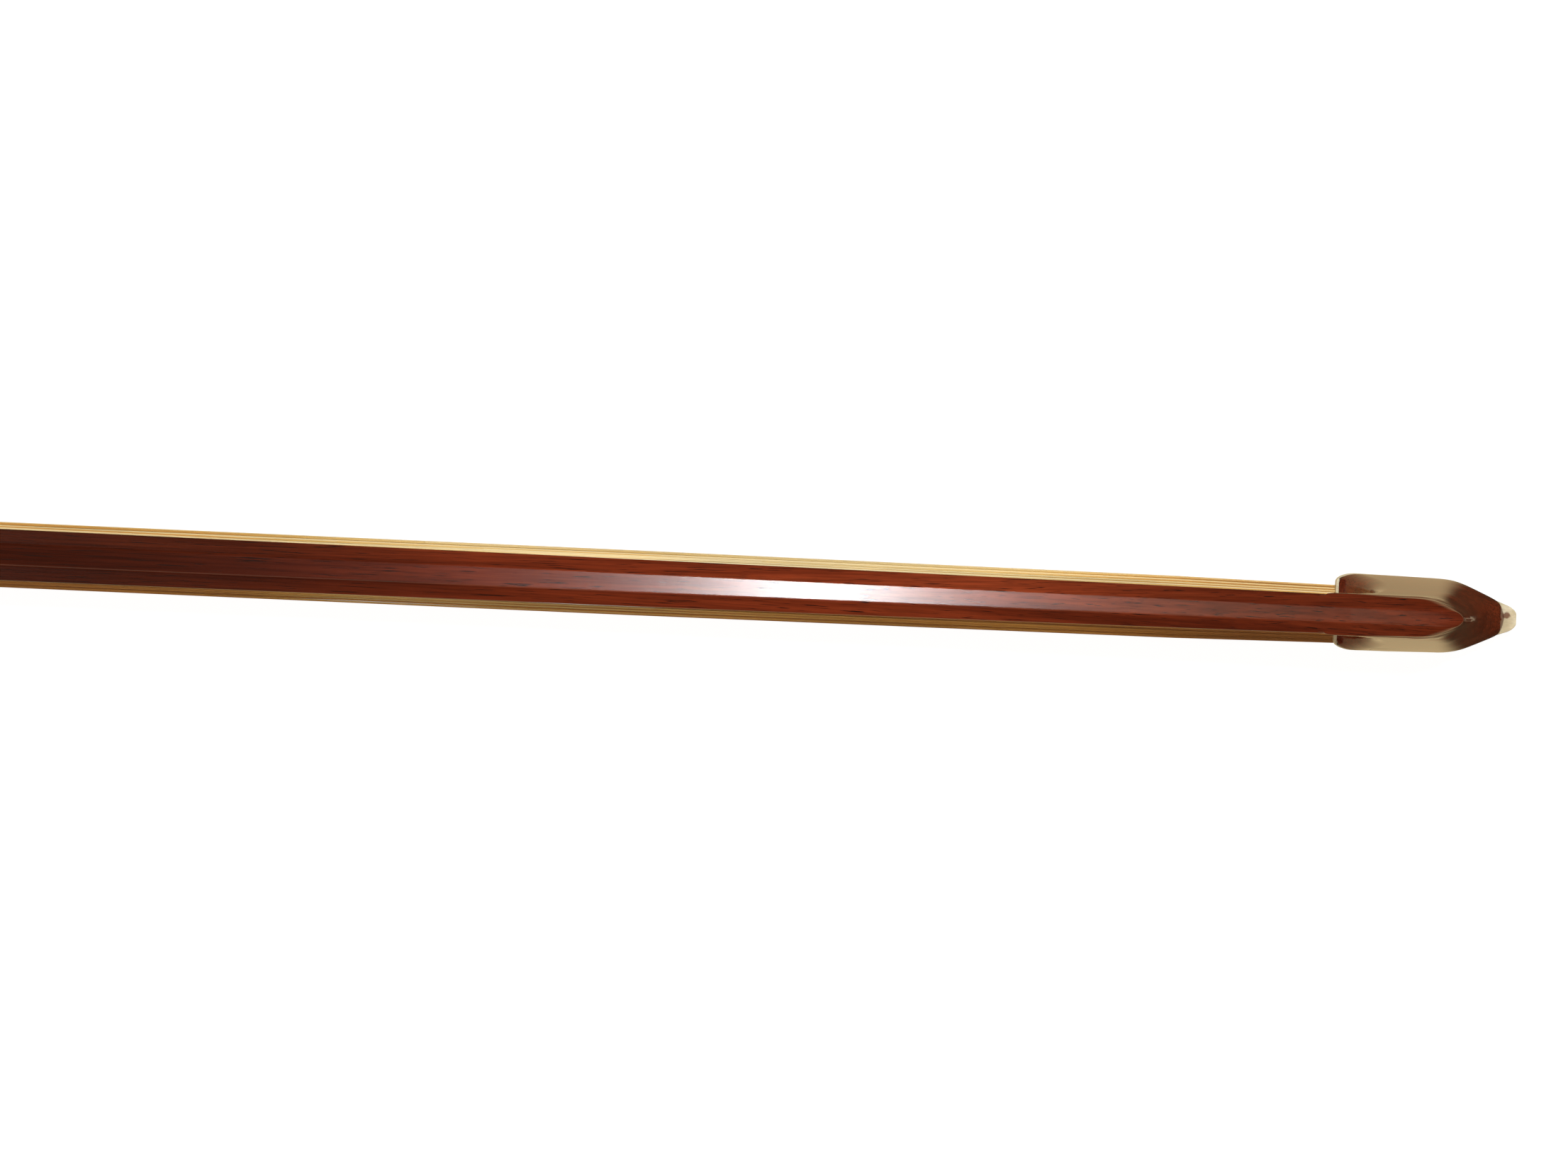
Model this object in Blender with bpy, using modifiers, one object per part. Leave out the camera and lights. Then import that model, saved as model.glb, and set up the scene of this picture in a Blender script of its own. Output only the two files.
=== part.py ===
import math

import bmesh
import bpy
from mathutils import Matrix, Vector

# The bow lies along X, frog and button at -X, head at +X, hair side down.
# Z = 0 is the underside of the frog and of the face plate, and X = 0 is mid-length.

# Whole bow
BOW_LENGTH = 0.747
GLUE = 0.0001
RUNNING = 0.0001

# Stick
HANDLE_WIDTH = 0.0086
HANDLE_LENGTH = 0.110
TIP_WIDTH = 0.00535
TAPER_KNEE = 0.100
CAMBER = 0.0083
SHAFT_STATIONS = 36
NIPPLE_RADIUS = 0.0030
NIPPLE_LENGTH = 0.0016

# Head
HEAD_LENGTH = 0.0252
HEAD_HEIGHT = 0.0239
CHEEK_BASE_Z = 0.0035
CHEEK_TOP_Z = 0.0205
FLANK_DRAW_IN = 0.08
PLATE_BORDER = 0.00135
PLATE_THICKNESS = 0.0016
LINER_THICKNESS = 0.0004
BEAK_LENGTH = 0.0019
NOSE_RISE = 0.0032
NOSE_CURVE_LENGTH = 0.011
REAR_RISE = 0.0013
REAR_CURVE_LENGTH = 0.0092
REAR_LIP_LENGTH = 0.0044
CORNER_LENGTH = 0.0029
CORNER_DEPTH = 0.0013
PLATE_NOSE_SHARE = 0.26
PLATE_FLARE = 1.83
PLATE_SOFTNESS = 0.05
BEAK_TIP_SHARE = 0.50
BEAK_ROUND_SHARE = 0.60
FACET_BLUNT_LOW = 0.175
FACET_BLUNT_HIGH = 0.03
FACET_SPREAD_LOW = 0.435
FACET_SPREAD_HIGH = 0.87
FACET_REACH = 0.62

# Head curves as (height, distance): forwards of the head's rear, and behind the nose
THROAT_CURVE = [
    (0.0036, 0.0002), (0.0046, 0.0012), (0.0060, 0.0022), (0.0085, 0.0034), (0.0120, 0.0041),
    (0.0155, 0.0038), (0.0175, 0.0026), (0.0188, 0.0003), (0.0223, -0.0036),
]
FRONT_CURVE = [
    (0.0030, 0.0018), (0.0054, 0.0021), (0.0080, 0.0036), (0.0120, 0.0059), (0.0160, 0.0076),
    (0.0200, 0.0088), (0.0230, 0.0096), (0.0280, 0.0106),
]

# Hair
HAIR_THICKNESS = 0.0006
HAIR_WIDTH_HEAD = 0.0082
HAIR_WIDTH_FROG = 0.0114
HAIR_RIDGES = 10
HAIR_RIDGE_SHARE = 0.36

# The hair bends out of the head as (distance back, rise and width shares, slope in degrees)
HAIR_TURN = [
    (0.0, 1.0, 0.96, 90), (0.00005, 0.55, 0.97, 65), (0.0003, 0.15, 0.98, 35), (0.0009, 0.0, 1.0, 0),
]

# How much wider than an even taper it fans out, as (share of the way to the frog, metres)
HAIR_FAN = [
    (0.011, 0.00012), (0.041, 0.00055), (0.16, 0.00060), (0.22, 0.00042), (0.36, 0.00006), (0.5, 0.0),
]

# The hair narrows behind the ferrule, as shares of its width there
HAIR_SLOPE_RUN = 0.0022
HAIR_SLOPE_SHARE = 0.96
HAIR_OVER_SHARE = 0.86
HAIR_CHANNEL_SHARE = 0.92

# It turns up into the frog's mortise as (distance back, rise, share of the mortise's size, slope)
FROG_TURN = [(0.00005, 0.0, 0.77, 0), (0.0006, 0.0003, 0.728, -50), (0.0008, 0.0010, 0.70, -90)]
HAIR_KNOT_SHARE = 0.60

# The mortise in the head, its plug and the knots
HEAD_MORTISE_FRONT = 0.0110
HEAD_MORTISE_WALL = 0.0051
HEAD_MORTISE_DEPTH = 0.0065
MORTISE_SIDE = 0.0004
MORTISE_TAPER = 0.80
HEAD_PLUG_DEPTH = 0.0037
HEAD_PLUG_TAPER = 0.84
HAIR_SHARE_IN_HEAD = 0.72
KNOT_HALF_SHARE = 0.34
KNOT_ROOF_GAP = 0.0003
FROG_KNOT_ROOF_GAP = 0.0004
KNOT_RADIUS = 0.0009
KNOT_THREAD = 0.00025

# Grip
LEATHER_LENGTH = 0.034
LEATHER_WALL = 0.0009
LAPPING_LENGTH = 0.072
LAPPING_WALL = 0.0004
GRIP_GAP = 0.0007

# Frog
FROG_LENGTH = 0.046
FROG_HEIGHT = 0.0187
COVE_OVERHANG = 0.0048
COVE_BEND_BACK = 0.0032
COVE_BEND_SHARE = 0.83
COVE_LIP_RISE = 0.0009
HEEL_LEAN_TOP = 0.0012
HEEL_LEAN_MIDDLE = 0.0008
HEEL_LEAN_RISE = 0.0030
FLOOR_GAP = 0.00015
TONGUE_SETBACK = 0.0006
FERRULE_LENGTH = 0.0120
FERRULE_SIDE_ROOM = 0.00065
FERRULE_HEIGHT = 0.0084
FERRULE_WALL = 0.00035
FERRULE_CORNER = 0.0008
FERRULE_SHOULDER = 0.30
HEEL_WIDTH = 0.0120
WING_WALL = 0.0008
LINER_WALL = 0.00035
FROG_TO_BUTTON = 0.0080
SLIDE_WIDTH = 0.0092
SLIDE_DOVETAIL = 0.0004
PEARL_THICKNESS = 0.0009
SLIDE_BAR_THICKNESS = 0.0011
HEEL_PLATE_LENGTH = 0.0080
HEEL_PLATE_HEIGHT = 0.0100
HEEL_PLATE_WALL = 0.0005
MORTISE_TO_FERRULE = 0.0030
FROG_MORTISE_LENGTH = 0.0105
FROG_MORTISE_SHARE = 0.84
FROG_MORTISE_TAPER = 0.86
FROG_PLUG_TAPER = 0.9
FROG_MORTISE_TOP = 0.0095
FROG_PLUG_TOP = 0.0063
WEDGE_LENGTH = 0.0060
WEDGE_THICKNESS = 0.0017
WEDGE_SETBACK = 0.0005
EYE_X = 0.0165
EYE_Z = 0.0105
EYE_RADIUS = 0.0029
EYE_RING_INNER = 0.0036
EYE_RING_OUTER = 0.0043
EYE_DEPTH = 0.0008
PIN_RADIUS = 0.00035
PIN_LENGTH = 0.0030
PIN_SINK = 0.00005
HEEL_PIN_HEIGHTS = (0.0035, 0.0080)
UNDERSLIDE_PIN_PLACES = (0.0060, 0.0320)
UNDERSLIDE_REAR = 0.0014
UNDERSLIDE_FRONT_GAP = 0.0030

# Screw, eyelet and button
BUTTON_LENGTH = 0.0170
BUTTON_WIDTH = 0.0084
BUTTON_GAP = 0.0003
BAND_LENGTH = 0.0048
BAND_WALL = 0.0005
BUTTON_PEARL_RADIUS = 0.0024
BUTTON_PEARL_DEPTH = 0.0008
SCREW_RADIUS = 0.0016
SCREW_TIP_RADIUS = 0.0012
SCREW_TIP_LENGTH = 0.0070
SCREW_SQUARE = 0.0024
SCREW_SQUARE_LENGTH = 0.0110
EYELET_X = 0.0205
EYELET_LENGTH = 0.0055
EYELET_WIDTH = 0.0040
EYELET_STEM_RADIUS = 0.0017
EYELET_STEM_LENGTH = 0.0070
EYELET_SIDE_ROOM = 0.0003
EYELET_CROWN = 0.0008
EYELET_EDGE = 0.0004
TIGHTEN_TRAVEL = 0.0021
LOOSEN_TRAVEL = 0.0049
MORTISE_SPARE = 0.0015
STICK_ROOF = 0.0013

# Places that follow from the sizes
PLATE_WIDTH = HAIR_WIDTH_HEAD + 2 * PLATE_BORDER
HEAD_MORTISE_REAR = HEAD_LENGTH - HEAD_MORTISE_WALL
NOSE_X = BOW_LENGTH / 2
THROAT_X = NOSE_X - HEAD_LENGTH
BUTTON_X = -BOW_LENGTH / 2
BUTT_X = BUTTON_X + BUTTON_LENGTH + BUTTON_GAP
HANDLE_END_X = BUTT_X + HANDLE_LENGTH
HEEL_X = BUTT_X + FROG_TO_BUTTON
AXIS_Z = FROG_HEIGHT + HANDLE_WIDTH / 2
TIP_AXIS_Z = HEAD_HEIGHT - TIP_WIDTH / 2
FROG_TOP_Z = AXIS_Z - HANDLE_WIDTH / 2 * math.tan(math.pi / 8)
FERRULE_X = FROG_LENGTH - FERRULE_LENGTH
FERRULE_WIDTH = HAIR_WIDTH_FROG + 2 * (FERRULE_WALL + FERRULE_SIDE_ROOM)
FROG_TOP_FRONT = FERRULE_X + COVE_OVERHANG
FROG_MORTISE_REAR = FERRULE_X - MORTISE_TO_FERRULE - FROG_MORTISE_LENGTH
LEATHER_X = HEEL_X + FROG_TOP_FRONT + LOOSEN_TRAVEL + GRIP_GAP
LAPPING_X = LEATHER_X + LEATHER_LENGTH + GLUE
WOOD_BASE = PLATE_THICKNESS + LINER_THICKNESS + 2 * GLUE
HAIR_Z = FERRULE_WALL + GLUE + HAIR_THICKNESS / 2
SLIDE_TOP = PEARL_THICKNESS + GLUE + SLIDE_BAR_THICKNESS
CHANNEL_WIDTH = HANDLE_WIDTH + 4 * RUNNING + 2 * LINER_WALL
MARGIN = 0.002

# Views of flat outlines, and the angle below which neighbouring faces are one flat face
FLAT_ANGLE = math.radians(0.05)
SHARP_ANGLE = math.radians(30)
SIDE_VIEW = Matrix(((1, 0, 0, 0), (0, 0, -1, 0), (0, 1, 0, 0), (0, 0, 0, 1)))
END_VIEW = Matrix(((0, 0, 1, 0), (1, 0, 0, 0), (0, 1, 0, 0), (0, 0, 0, 1)))


# Scene and materials


def clear_scene():
    for obj in list(bpy.data.objects):
        bpy.data.objects.remove(obj, do_unlink=True)


def collection(name):
    made = bpy.data.collections.new(name)
    bpy.context.scene.collection.children.link(made)
    return made


def material(name, colour, roughness, metallic=0.0):
    made = bpy.data.materials.new(name)
    made.use_nodes = True
    shader = made.node_tree.nodes["Principled BSDF"]
    shader.inputs["Base Color"].default_value = (*colour, 1.0)
    shader.inputs["Roughness"].default_value = roughness
    shader.inputs["Metallic"].default_value = metallic
    return made


def empty(name, place):
    made = bpy.data.objects.new(name, None)
    made.location = place
    made.empty_display_size = 0.01
    parts.objects.link(made)
    return made


# Shape helpers


def mesh_object(name, mesh):
    """A closed mesh as an object, its faces turned outwards."""
    bm = bmesh.new()
    bm.from_mesh(mesh)
    bmesh.ops.remove_doubles(bm, verts=bm.verts, dist=1e-8)
    bmesh.ops.recalc_face_normals(bm, faces=bm.faces)
    bm.to_mesh(mesh)
    bm.free()
    made = bpy.data.objects.new(name, mesh)
    parts.objects.link(made)
    return made


def from_bmesh(name, bm):
    mesh = bpy.data.meshes.new(name)
    bm.to_mesh(mesh)
    bm.free()
    return mesh_object(name, mesh)


def evaluated_mesh(obj):
    bpy.context.view_layer.update()
    graph = bpy.context.evaluated_depsgraph_get()
    return bpy.data.meshes.new_from_object(obj.evaluated_get(graph))


def loft(name, rings):
    """A closed skin over rings of equal count, with flat ends."""
    bm = bmesh.new()
    rows = [[bm.verts.new(point) for point in ring] for ring in rings]
    count = len(rows[0])
    for row, after in zip(rows, rows[1:]):
        for i in range(count):
            j = (i + 1) % count
            bm.faces.new((row[i], row[j], after[j], after[i]))
    bm.faces.new(rows[0])
    bm.faces.new(rows[-1])
    return from_bmesh(name, bm)


def sleeve(name, outer, inner):
    """A tube whose walls run between outer rings and inner rings of equal count."""
    bm = bmesh.new()
    skins = [[[bm.verts.new(p) for p in ring] for ring in rings] for rings in (outer, inner)]
    count = len(outer[0])
    for rows in skins:
        for row, after in zip(rows, rows[1:]):
            for i in range(count):
                j = (i + 1) % count
                bm.faces.new((row[i], row[j], after[j], after[i]))
    for end in (0, -1):
        out, hole = skins[0][end], skins[1][end]
        for i in range(count):
            j = (i + 1) % count
            bm.faces.new((out[i], out[j], hole[j], hole[i]))
    return from_bmesh(name, bm)


def flat_outline(name, outline, half_thickness, turn):
    """A flat outline as a filled 2D curve, extruded both ways and made a mesh."""
    curve = bpy.data.curves.new(name + "_outline", "CURVE")
    curve.dimensions = "2D"
    curve.fill_mode = "BOTH"
    curve.extrude = half_thickness
    spline = curve.splines.new("POLY")
    spline.points.add(len(outline) - 1)
    for point, (u, v) in zip(spline.points, outline):
        point.co = (u, v, 0, 1)
    spline.use_cyclic_u = True
    guide = bpy.data.objects.new(name + "_outline", curve)
    guide.matrix_world = turn
    parts.objects.link(guide)
    mesh = evaluated_mesh(guide)
    bpy.data.objects.remove(guide, do_unlink=True)
    bm = bmesh.new()
    bm.from_mesh(mesh)
    bmesh.ops.remove_doubles(bm, verts=bm.verts, dist=1e-8)
    bmesh.ops.dissolve_limit(bm, angle_limit=FLAT_ANGLE, verts=bm.verts, edges=bm.edges)
    bm.to_mesh(mesh)
    bm.free()
    mesh.transform(turn)
    return mesh_object(name, mesh)


def side_plate(name, outline, half_width):
    """An outline in X and Z, as thick as the width along Y."""
    return flat_outline(name, outline, half_width, SIDE_VIEW)


def end_prism(name, outline, start, end):
    """An outline in Y and Z, extruded along X from start to end."""
    place = Matrix.Translation(((start + end) / 2, 0, 0)) @ END_VIEW
    return flat_outline(name, outline, (end - start) / 2, place)


def block(name, low, high, top_scale=1.0):
    """A box between two corners, narrowed along Y at its top by top_scale."""
    bm = bmesh.new()
    bmesh.ops.create_cube(bm, size=1)
    for vert in bm.verts:
        vert.co = [a + (b - a) * (c + 0.5) for a, b, c in zip(low, high, vert.co)]
        if vert.co.z > (low[2] + high[2]) / 2:
            vert.co.y *= top_scale
    return from_bmesh(name, bm)


def rod(name, start, end, radius, sides=24):
    """A cylinder from one point to another."""
    start, end = Vector(start), Vector(end)
    along = end - start
    place = Matrix.Translation((start + end) / 2) @ along.to_track_quat("Z", "Y").to_matrix().to_4x4()
    bm = bmesh.new()
    bmesh.ops.create_cone(
        bm, cap_ends=True, segments=sides, radius1=radius, radius2=radius,
        depth=along.length, matrix=place,
    )
    return from_bmesh(name, bm)


def turned(name, profile, place, closed=False, steps=24):
    """A profile of (radius, height) turned about the local Z axis, then placed."""
    mesh = bpy.data.meshes.new(name + "_profile")
    count = len(profile)
    edges = [(i, i + 1) for i in range(count - 1)] + ([(count - 1, 0)] if closed else [])
    mesh.from_pydata([(r, 0, h) for r, h in profile], edges, [])
    guide = bpy.data.objects.new(name + "_profile", mesh)
    parts.objects.link(guide)
    screw = guide.modifiers.new("turn", "SCREW")
    screw.steps = steps
    screw.render_steps = steps
    screw.use_merge_vertices = True
    screw.merge_threshold = 1e-6
    made = mesh_object(name, evaluated_mesh(guide))
    made.data.transform(place)
    bpy.data.objects.remove(guide, do_unlink=True)
    return made


def ring_between(name, start, end, inner, outer):
    """A plain round ring whose axis runs from start to end."""
    start, end = Vector(start), Vector(end)
    along = end - start
    place = Matrix.Translation(start) @ along.to_track_quat("Z", "Y").to_matrix().to_4x4()
    length = along.length
    profile = [(outer, length), (outer, 0), (inner, 0), (inner, length)]
    return turned(name, profile, place, closed=True)


def shape_with(target, other, operation):
    """A Boolean with a helper, which is kept in the cutters' collection."""
    modifier = target.modifiers.new(other.name, "BOOLEAN")
    modifier.operation = operation
    modifier.object = other
    if other.name in parts.objects:
        parts.objects.unlink(other)
        cutters.objects.link(other)
    other.hide_render = True
    other.display_type = "WIRE"


def cut(target, *others):
    for other in others:
        shape_with(target, other, "DIFFERENCE")


def join(target, *others):
    for other in others:
        shape_with(target, other, "UNION")


def keep(target, other):
    shape_with(target, other, "INTERSECT")


def finish(obj, look, parent=None):
    obj.data.materials.clear()
    obj.data.materials.append(look)
    obj.data.shade_smooth()
    obj.data.set_sharp_from_angle(angle=SHARP_ANGLE)
    if parent:
        obj.parent = parent
    return obj


# Curves that several pieces share


def blend_curve(points, value):
    """A smooth curve through (value, result) points, level with its neighbours' slopes."""
    if value <= points[0][0]:
        return points[0][1]
    for k in range(len(points) - 1):
        (a, p), (b, q) = points[k], points[k + 1]
        if value <= b:
            before = points[max(k - 1, 0)]
            after = points[min(k + 2, len(points) - 1)]
            slope_a = (q - before[1]) / (b - before[0])
            slope_b = (after[1] - p) / (after[0] - a)
            t = (value - a) / (b - a)
            h = b - a
            return (
                p * (2 * t**3 - 3 * t**2 + 1) + slope_a * h * (t**3 - 2 * t**2 + t)
                + q * (3 * t**2 - 2 * t**3) + slope_b * h * (t**3 - t**2)
            )
    return points[-1][1]


def stick_width(x):
    """Across the flats: even along the handle, then thinner towards the tip."""
    run = THROAT_X - HANDLE_END_X
    left = min(max(THROAT_X - x, 0), run)
    share = math.log(1 + left / TAPER_KNEE) / math.log(1 + run / TAPER_KNEE)
    return TIP_WIDTH + (HANDLE_WIDTH - TIP_WIDTH) * share


def stick_axis(x):
    """Height of the stick's axis: straight in the handle, cambered, straight in the head."""
    run = THROAT_X - HANDLE_END_X
    u = max((x - HANDLE_END_X) / run, 0)
    level = AXIS_Z + (TIP_AXIS_Z - AXIS_Z) * min(u, 1) ** 2
    if u <= 1:
        return level - CAMBER * 27 / 4 * u**2 * (1 - u)
    slope = (2 * (TIP_AXIS_Z - AXIS_Z) + CAMBER * 27 / 4) / run
    return TIP_AXIS_Z + slope * (x - THROAT_X)


def octagon(x, width, z):
    """Corners of an octagon with level flats, in a plane across the bow."""
    radius = width / 2 / math.cos(math.pi / 8)
    angles = [math.pi / 8 + k * math.pi / 4 for k in range(8)]
    return [(x, radius * math.cos(a), z + radius * math.sin(a)) for a in angles]


def plate_underside(d):
    """Height of the face plate's underside at a distance d behind the nose."""
    nose = max(1 - d / NOSE_CURVE_LENGTH, 0)
    rise_start = HEAD_LENGTH - REAR_LIP_LENGTH - REAR_CURVE_LENGTH
    rear = min(max((d - rise_start) / REAR_CURVE_LENGTH, 0), 1)
    return NOSE_RISE * nose**2 + REAR_RISE * rear**2 * (3 - 2 * rear)


def plate_half_width(d):
    """Half the face plate's width at a distance d behind the nose."""
    flank = PLATE_WIDTH / 2 * (1 - FLANK_DRAW_IN * (1 - d / HEAD_LENGTH))
    wedge = PLATE_WIDTH / 2 * (PLATE_NOSE_SHARE + PLATE_FLARE * d / HEAD_LENGTH)
    soft = PLATE_WIDTH * PLATE_SOFTNESS
    half = (flank + wedge - math.sqrt((flank - wedge) ** 2 + soft**2)) / 2
    corner = max(d - (HEAD_LENGTH - CORNER_LENGTH), 0) / CORNER_LENGTH
    half -= CORNER_DEPTH * (1 - math.sqrt(max(1 - corner**2, 0)))
    beak = min(d / (BEAK_ROUND_SHARE * BEAK_LENGTH), 1)
    return half * (BEAK_TIP_SHARE + (1 - BEAK_TIP_SHARE) * math.sqrt(1 - (1 - beak) ** 2))


def plate_outline(front):
    """The face plate's outline from above, from a distance behind the nose to its rear."""
    count = 22
    steps = [(1 - math.cos(math.pi * i / count)) / 2 for i in range(count + 1)]
    sides = [front + (HEAD_LENGTH - front) * s for s in steps]
    right = [(NOSE_X - d, plate_half_width(d)) for d in sides]
    return right + [(x, -y) for x, y in reversed(right)]


def plate_layer(low, high):
    """A curved slab that follows the face plate's underside, between two depths."""
    count = 26
    far = HEAD_LENGTH + 2 * MARGIN
    places = [-MARGIN + far * i / count for i in range(count + 1)]
    lower = [(NOSE_X - d, plate_underside(d) + low) for d in places]
    upper = [(NOSE_X - d, plate_underside(d) + high) for d in places]
    return side_plate("plate_layer", lower + upper[::-1], PLATE_WIDTH)


# Shapes of the head

def cheek_share(z):
    """How far a level is up the cheeks, from 0 at the plate to 1 at the stick's sides."""
    return min(max((z - CHEEK_BASE_Z) / (CHEEK_TOP_Z - CHEEK_BASE_Z), 0), 1)


def head_section(z):
    """The head's level outline: rounded rear corners, and cheeks that draw in a little forwards."""
    rear = HEAD_LENGTH - blend_curve(THROAT_CURVE, z)
    ridge = TIP_WIDTH / 2 - GLUE / 4
    half = PLATE_WIDTH / 2 + (ridge - PLATE_WIDTH / 2) * cheek_share(z)
    draw_in = FLANK_DRAW_IN * (1 - cheek_share(z))
    narrow = half / (PLATE_WIDTH / 2)
    corner_x, corner_y = CORNER_LENGTH * narrow, CORNER_DEPTH * narrow
    side = []
    for i in range(6):
        angle = math.pi / 2 * i / 5
        x = NOSE_X - rear + corner_x * (1 - math.cos(angle))
        side.append((x, half - corner_y * (1 - math.sin(angle)), z))
    side.append((NOSE_X - rear / 2, half * (1 - draw_in / 2), z))
    side.append((NOSE_X + MARGIN, half * (1 - draw_in), z))
    return side + [(x, -y, z) for x, y, _ in reversed(side)]


def front_section(z):
    """What the two front facets leave away at one level: a block with a notch for the wood."""
    tip = NOSE_X - blend_curve(FRONT_CURVE, z)
    share = min(max((z - CHEEK_BASE_Z) / (HEAD_HEIGHT - CHEEK_BASE_Z), 0), 1)
    blunt = PLATE_WIDTH * (FACET_BLUNT_LOW + (FACET_BLUNT_HIGH - FACET_BLUNT_LOW) * share)
    spread = FACET_SPREAD_LOW + (FACET_SPREAD_HIGH - FACET_SPREAD_LOW) * share
    notch = []
    for i in range(10):
        back = HEAD_LENGTH * FACET_REACH * (i / 9) ** 2
        half = blunt * (1 - math.exp(-back / (0.05 * PLATE_WIDTH))) + spread * back
        notch.append((tip - back, half, z))
    wide, far = PLATE_WIDTH * 1.5, NOSE_X + 2 * MARGIN
    upper = [(far, wide, z), (notch[-1][0], wide, z), *reversed(notch)]
    lower = [(x, -y, z) for x, y, _ in notch[1:]] + [(notch[-1][0], -wide, z), (far, -wide, z)]
    return upper + lower


def levels(low, high, count):
    return [low + (high - low) * i / (count - 1) for i in range(count)]


# Pieces of the stick


def make_stick():
    run = levels(HANDLE_END_X, THROAT_X, SHAFT_STATIONS)
    places = [BUTT_X] + run + [NOSE_X + MARGIN]
    stick = loft("stick", [octagon(x, stick_width(x), stick_axis(x)) for x in places])
    low = CHEEK_BASE_Z - MARGIN
    head = loft("head_block", [head_section(z) for z in levels(low, THROAT_CURVE[-1][0], 18)])
    front = loft("front_facets", [front_section(z) for z in levels(low - MARGIN, 0.029, 14)])
    join(stick, head)
    cut(stick, front, plate_layer(-4 * MARGIN, WOOD_BASE))
    nipple_ends = [(x, 0, AXIS_Z) for x in (BUTT_X - NIPPLE_LENGTH, BUTT_X + MARGIN)]
    join(stick, rod("nipple", *nipple_ends, NIPPLE_RADIUS))
    cut(stick, head_mortise(), eyelet_mortise(), *screw_bores())
    return finish(stick, looks["wood"])


def head_mortise():
    half = HAIR_WIDTH_HEAD / 2 + MORTISE_SIDE
    low = (NOSE_X - HEAD_MORTISE_REAR, -half, -MARGIN)
    high = (NOSE_X - HEAD_MORTISE_FRONT, half, HEAD_MORTISE_DEPTH)
    return block("head_mortise", low, high, MORTISE_TAPER)


def eyelet_mortise():
    middle = HEEL_X + EYELET_X
    half = EYELET_LENGTH / 2 + MORTISE_SPARE
    side = EYELET_WIDTH / 2 + EYELET_SIDE_ROOM
    roof = AXIS_Z + HANDLE_WIDTH / 2 - STICK_ROOF
    low = (middle - half - TIGHTEN_TRAVEL, -side, AXIS_Z - HANDLE_WIDTH)
    return block("eyelet_mortise", low, (middle + half + LOOSEN_TRAVEL, side, roof))


def screw_bores():
    shoulder = screw_shoulder_x() + 2 * MARGIN
    bore = rod(
        "screw_bore", (BUTT_X - 2 * NIPPLE_LENGTH, 0, AXIS_Z), (shoulder, 0, AXIS_Z),
        SCREW_RADIUS + 1.5 * RUNNING,
    )
    tip = rod(
        "screw_tip_bore", (shoulder - MARGIN, 0, AXIS_Z), (shoulder + SCREW_TIP_LENGTH, 0, AXIS_Z),
        SCREW_TIP_RADIUS + 1.5 * RUNNING,
    )
    return bore, tip


def screw_shoulder_x():
    """Where the thread ends, just past the eyelet's furthest place."""
    return HEEL_X + EYELET_X + EYELET_LENGTH / 2 + LOOSEN_TRAVEL + MORTISE_SPARE


def make_head_plate():
    blank = flat_outline("tip_plate", plate_outline(0.0), 4 * MARGIN, Matrix())
    keep(blank, plate_layer(0, PLATE_THICKNESS))
    cut(blank, bpy.data.objects["head_mortise"])
    finish(blank, looks["bone"])
    liner = flat_outline("tip_liner", plate_outline(BEAK_LENGTH), 4 * MARGIN, Matrix())
    low = PLATE_THICKNESS + GLUE
    keep(liner, plate_layer(low, low + LINER_THICKNESS))
    cut(liner, bpy.data.objects["head_mortise"])
    finish(liner, looks["ebony"])


def make_head_plug():
    slot = HAIR_THICKNESS * 2
    half = HAIR_WIDTH_HEAD / 2 + MORTISE_SIDE - 2 * GLUE
    low = (NOSE_X - HEAD_MORTISE_REAR + slot, -half, -MARGIN)
    high = (NOSE_X - HEAD_MORTISE_FRONT - GLUE, half, HEAD_PLUG_DEPTH)
    plug = block("tip_plug", low, high, HEAD_PLUG_TAPER)
    cut(plug, plate_layer(-4 * MARGIN, 0))
    finish(plug, looks["plug"])


def make_knot(name, thread_name, place, half_length, parent=None):
    """The tied hair end as a short rod across the bow, with its ring of thread."""
    x, z = place
    knot = rod(name, (x, -half_length, z), (x, half_length, z), KNOT_RADIUS, 16)
    finish(knot, looks["hair"], parent)
    width = KNOT_RADIUS * 0.8
    thread = ring_between(
        thread_name, (x, -width, z), (x, width, z),
        KNOT_RADIUS + GLUE / 2, KNOT_RADIUS + GLUE / 2 + KNOT_THREAD,
    )
    finish(thread, looks["thread"], parent)


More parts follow.
